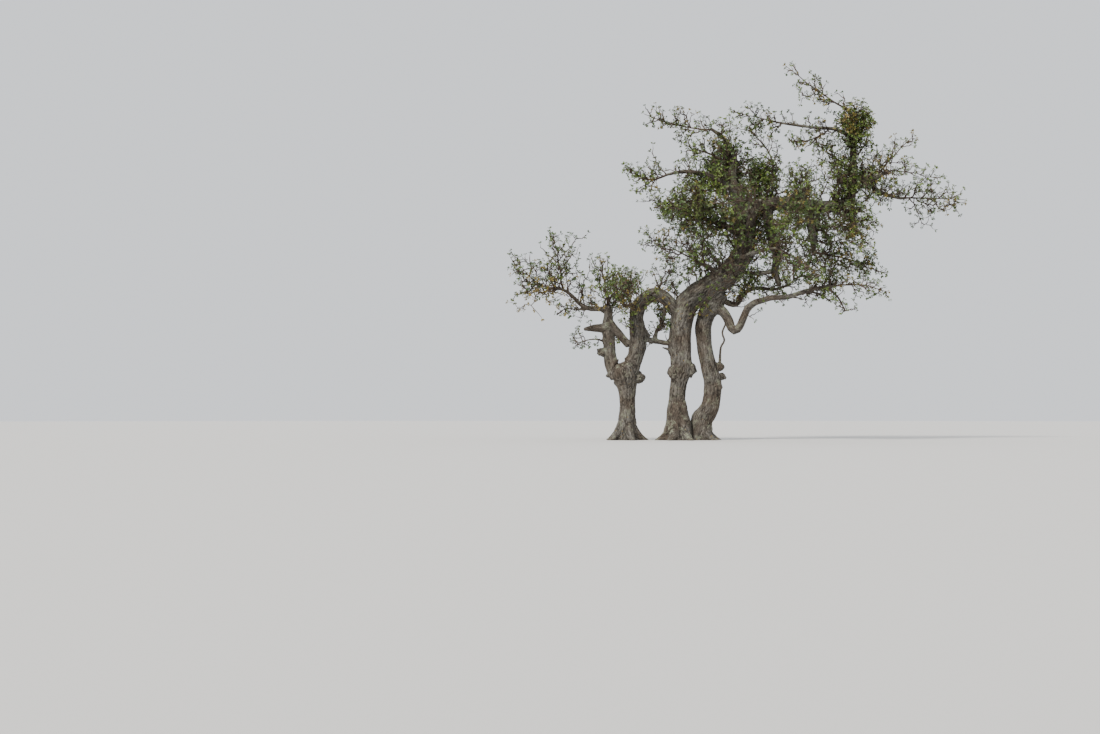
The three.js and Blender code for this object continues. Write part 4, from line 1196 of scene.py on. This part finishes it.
leader_at, leader_radius = (np.array(column) for column in zip(*leaders))
young_bark = twig_bark("young_bark", (0.03, 0.02, 0.014), (0.065, 0.044, 0.031), (0.12, 0.09, 0.064))
shoot_parts = [
    tubes(leader_at, leader_radius, sides=8),
    twig_tubes(shoots, rings=KNEES + 1, sides=5),
    twig_tubes(sprays, rings=KNEES + 1, sides=4),
]
shoot_piece = joined("shoots", shoot_parts, young_bark)
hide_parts(*(mass["name"] for mass in masses))
side_piece = joined("side_twigs", [twig_tubes(twigs, rings=KNEES + 1, sides=4)], young_bark)
fine_piece = joined("twiglets", [twig_tubes(twiglets, rings=KNEES // 2 + 1, sides=4)], young_bark)


# The spurs: short side shoots of half a centimetre to two, which stand all along the twigs and bear
# the leaves in tufts at their ends.
SPUR_SPACING, SPUR_LENGTH = 0.07, (0.006, 0.022)
END_SPUR, END_SPUR_ANGLE = 0.985, 0.3  # the share of the twig and the angle at which its last one stands
SPUR_SCATTER, FIRST_SPUR = 0.5, 0.1
SPRIG_LEAFY = 0.6
leafiness = np.array([mass["leafy"] for mass in masses] + [SPRIG_LEAFY])
LEAFY_LEADER = 0.0115  # a leading twig bears spurs where it is thinner than this
bearers = np.concatenate([spans[spans["thick"] < LEAFY_LEADER], shoots, sprays, twigs, twiglets])


def spurs_on(twigs):
    """Spurs at each twig's end and at about even steps along it."""
    number = twigs["reach"] / SPUR_SPACING * leafiness[twigs["mass"]]
    counts = np.maximum(1, np.round(number)).astype(int)
    row, k = numbered(counts)
    share = np.where(k == 0, END_SPUR, 1 - (k + SPUR_SCATTER * chance.random(len(k))) / counts[row])
    turn = golden_turns(row, k, twigs)
    heading = leaving(twigs["heading"][row], turn, np.where(k == 0, END_SPUR_ANGLE, side_angles(len(k))))
    heading[:, 2] += LIGHT
    spurs = twig_rows(
        root=on_twigs(twigs[row], share), heading=unit(heading), reach=spread(*SPUR_LENGTH, len(k)),
        thick=0.0026, tip=0.002, spray=twigs["spray"][row], mass=twigs["mass"][row],
    )
    return spurs[share > FIRST_SPUR]


spurs = spurs_on(bearers)
spur_piece = joined("spurs", [twig_tubes(spurs, rings=2, sides=3)], young_bark)


# The thorns: sharp, straight and woody, a centimetre or two long. They stand out all round the
# shoots and side twigs of the masses.
THORN_LENGTH = (0.011, 0.023)
thorny = np.concatenate([shoots, twigs])
thorny = thorny[thorny["mass"] != ON_BOUGH]
thorns = sprout(thorny, spacing=0.07, first=0.1, reach=(0.05, 0.1), thick=0.0013, tip=0.0003)
thorns["reach"] = spread(*THORN_LENGTH, len(thorns))
thorns["bend"] = 0
thorn_piece = joined("thorns", [twig_tubes(thorns, rings=2, sides=3)], young_bark)


# The leaves. A hawthorn's leaf is small, on a thin stalk, lobed to half-way in, folded a little along
# its midrib and bent down at its tip.
LEAF_LENGTH = (0.03, 0.046)
LEAF_SIDE = ((0.035, 0.26), (0.33, 0.5), (0.14, 0.6), (0.3, 0.8), (0.12, 0.84))  # across, along
LEAF_MIDRIB = ((0, 0), (0, 0.55), (0, 1))
LEAF_FOLD, LEAF_DROOP = 0.42, 0.24
LEAF_TILT = 0.75  # how far its upper side turns from the light
TUFT = (4, 7)  # how many leaves
TUFT_ANGLE, TUFT_SPREAD = math.radians(60), (0.5, 1.3)

outline = np.array([*LEAF_MIDRIB, *LEAF_SIDE, *((-across, up) for across, up in LEAF_SIDE)])
leaf_shape = np.column_stack([outline, np.abs(outline[:, 0]) * LEAF_FOLD - outline[:, 1] ** 2 * LEAF_DROOP])
tip, first_left = len(LEAF_MIDRIB) - 1, len(LEAF_MIDRIB) + len(LEAF_SIDE)
right_rim = [0, *range(tip + 1, first_left), tip]
left_rim = [0, *range(first_left, len(outline)), tip]
leaf_faces = [(1, a, b) for a, b in zip(right_rim, right_rim[1:])]
leaf_faces += [(1, b, a) for a, b in zip(left_rim, left_rim[1:])]


def leaves(root, heading):
    """The points and faces of leaves, each with its upper side more or less to the light."""
    up = np.array([0, 0, 1]) + LEAF_TILT * (chance.random(root.shape) - 0.5) * 2
    up = unit(up - heading * (up * heading).sum(1, keepdims=True))
    across = np.cross(heading, up)
    size = spread(*LEAF_LENGTH, len(root))
    frames = np.stack([across, heading, up], axis=1) * size[:, None, None]
    points = root[:, None] + leaf_shape @ frames
    first = (np.arange(len(root)) * len(leaf_shape))[:, None, None]
    return points.reshape(-1, 3), [(np.array(leaf_faces) + first).reshape(-1, 3)]


def leaf_skin(name, low, high, vein):
    """A leaf's colour, with duller and brighter patches and a fine net of veins."""
    material, tree, shader = new_material(name)
    solid = add(tree, "TexCoord").outputs["Object"]
    patch = soft_noise(tree, solid, 38, 4, 0.6)
    colour = ramp(tree, patch, (0.36, low), (0.62, high))
    net = cell_noise(tree, solid, 260, "DISTANCE_TO_EDGE")
    colour = mixed(tree, product(tree, between(tree, net, 0.08, 0.0), 0.45), colour, vein)
    tree.links.new(colour, shader.inputs["Base Color"])
    rough = add(tree, "MapRange", {"Value": patch, "To Min": 0.42, "To Max": 0.66}).outputs["Result"]
    tree.links.new(rough, shader.inputs["Roughness"])
    bump = add(tree, "Bump", {"Strength": 0.35, "Distance": 0.0006, "Height": net})
    tree.links.new(bump.outputs["Normal"], shader.inputs["Normal"])
    return material


per_tuft = chance.integers(TUFT[0], TUFT[1] + 1, len(spurs))
spur, k = numbered(per_tuft)
turn = golden_turns(spur, k, spurs)
angle = TUFT_ANGLE * spread(*TUFT_SPREAD, len(spur))
leaf_root = on_twigs(spurs, 1.0)[spur]
leaf_heading = leaving(spurs["heading"][spur], turn, angle)
leaf_spray = spurs["spray"][spur]

LEAF_COLOURS = (  # name, share of the sprays, darker and brighter patches, veins
    ("leaves_deep", 0.22, (0.042, 0.074, 0.017), (0.07, 0.118, 0.027), (0.12, 0.17, 0.055)),
    ("leaves_olive", 0.26, (0.068, 0.092, 0.02), (0.112, 0.145, 0.032), (0.16, 0.19, 0.06)),
    ("leaves_grey", 0.2, (0.062, 0.09, 0.037), (0.1, 0.135, 0.055), (0.15, 0.18, 0.085)),
    ("leaves_bright", 0.22, (0.088, 0.14, 0.022), (0.145, 0.21, 0.037), (0.2, 0.25, 0.07)),
    ("leaves_tawny", 0.1, (0.14, 0.115, 0.023), (0.235, 0.18, 0.04), (0.28, 0.22, 0.08)),
)
dealt = chance.random(leaf_spray.max() + 1)[leaf_spray]
low = 0
for name, share, *colours in LEAF_COLOURS:
    picked = (dealt >= low) & (dealt < low + share)
    low += share
    piece = joined(name, [leaves(leaf_root[picked], leaf_heading[picked])], leaf_skin(name, *colours))


# The stage: a wide pale floor, and soft light from the sky and from a broad sun that stands at the
# front left, 42 degrees up.
FLOOR_RADIUS, FLOOR_SIDES, FLOOR_DROP = 60, 96, 0.002
floor_mesh = bmesh.new()
bmesh.ops.create_circle(
    floor_mesh, cap_ends=True, segments=FLOOR_SIDES, radius=FLOOR_RADIUS,
    matrix=Matrix.Translation((0, 0, -FLOOR_DROP)),
)
floor_data = bpy.data.meshes.new("floor")
floor_mesh.to_mesh(floor_data)
floor_mesh.free()
floor = placed("floor", floor_data)
floor_skin, _, floor_shader = new_material("floor")
floor_shader.inputs["Base Color"].default_value = (0.62, 0.61, 0.59, 1)
floor_shader.inputs["Roughness"].default_value = 0.9
floor_data.materials.append(floor_skin)

world = bpy.data.worlds.new("sky")
world.use_nodes = True
sky = world.node_tree.nodes["Background"]
sky.inputs["Color"].default_value = (0.86, 0.89, 0.93, 1)
sky.inputs["Strength"].default_value = 1.2
bpy.context.scene.world = world
sun = placed("sun", bpy.data.lights.new("sun", "SUN"))
sun.data.energy = 4.2
sun.data.angle = math.radians(14)
sun.data.color = (1, 0.95, 0.87)
SUN_FROM_ZENITH, SUN_TURN = math.radians(48), math.radians(-38)
sun.rotation_euler = (SUN_FROM_ZENITH, 0, SUN_TURN)

bpy.context.view_layer.update()
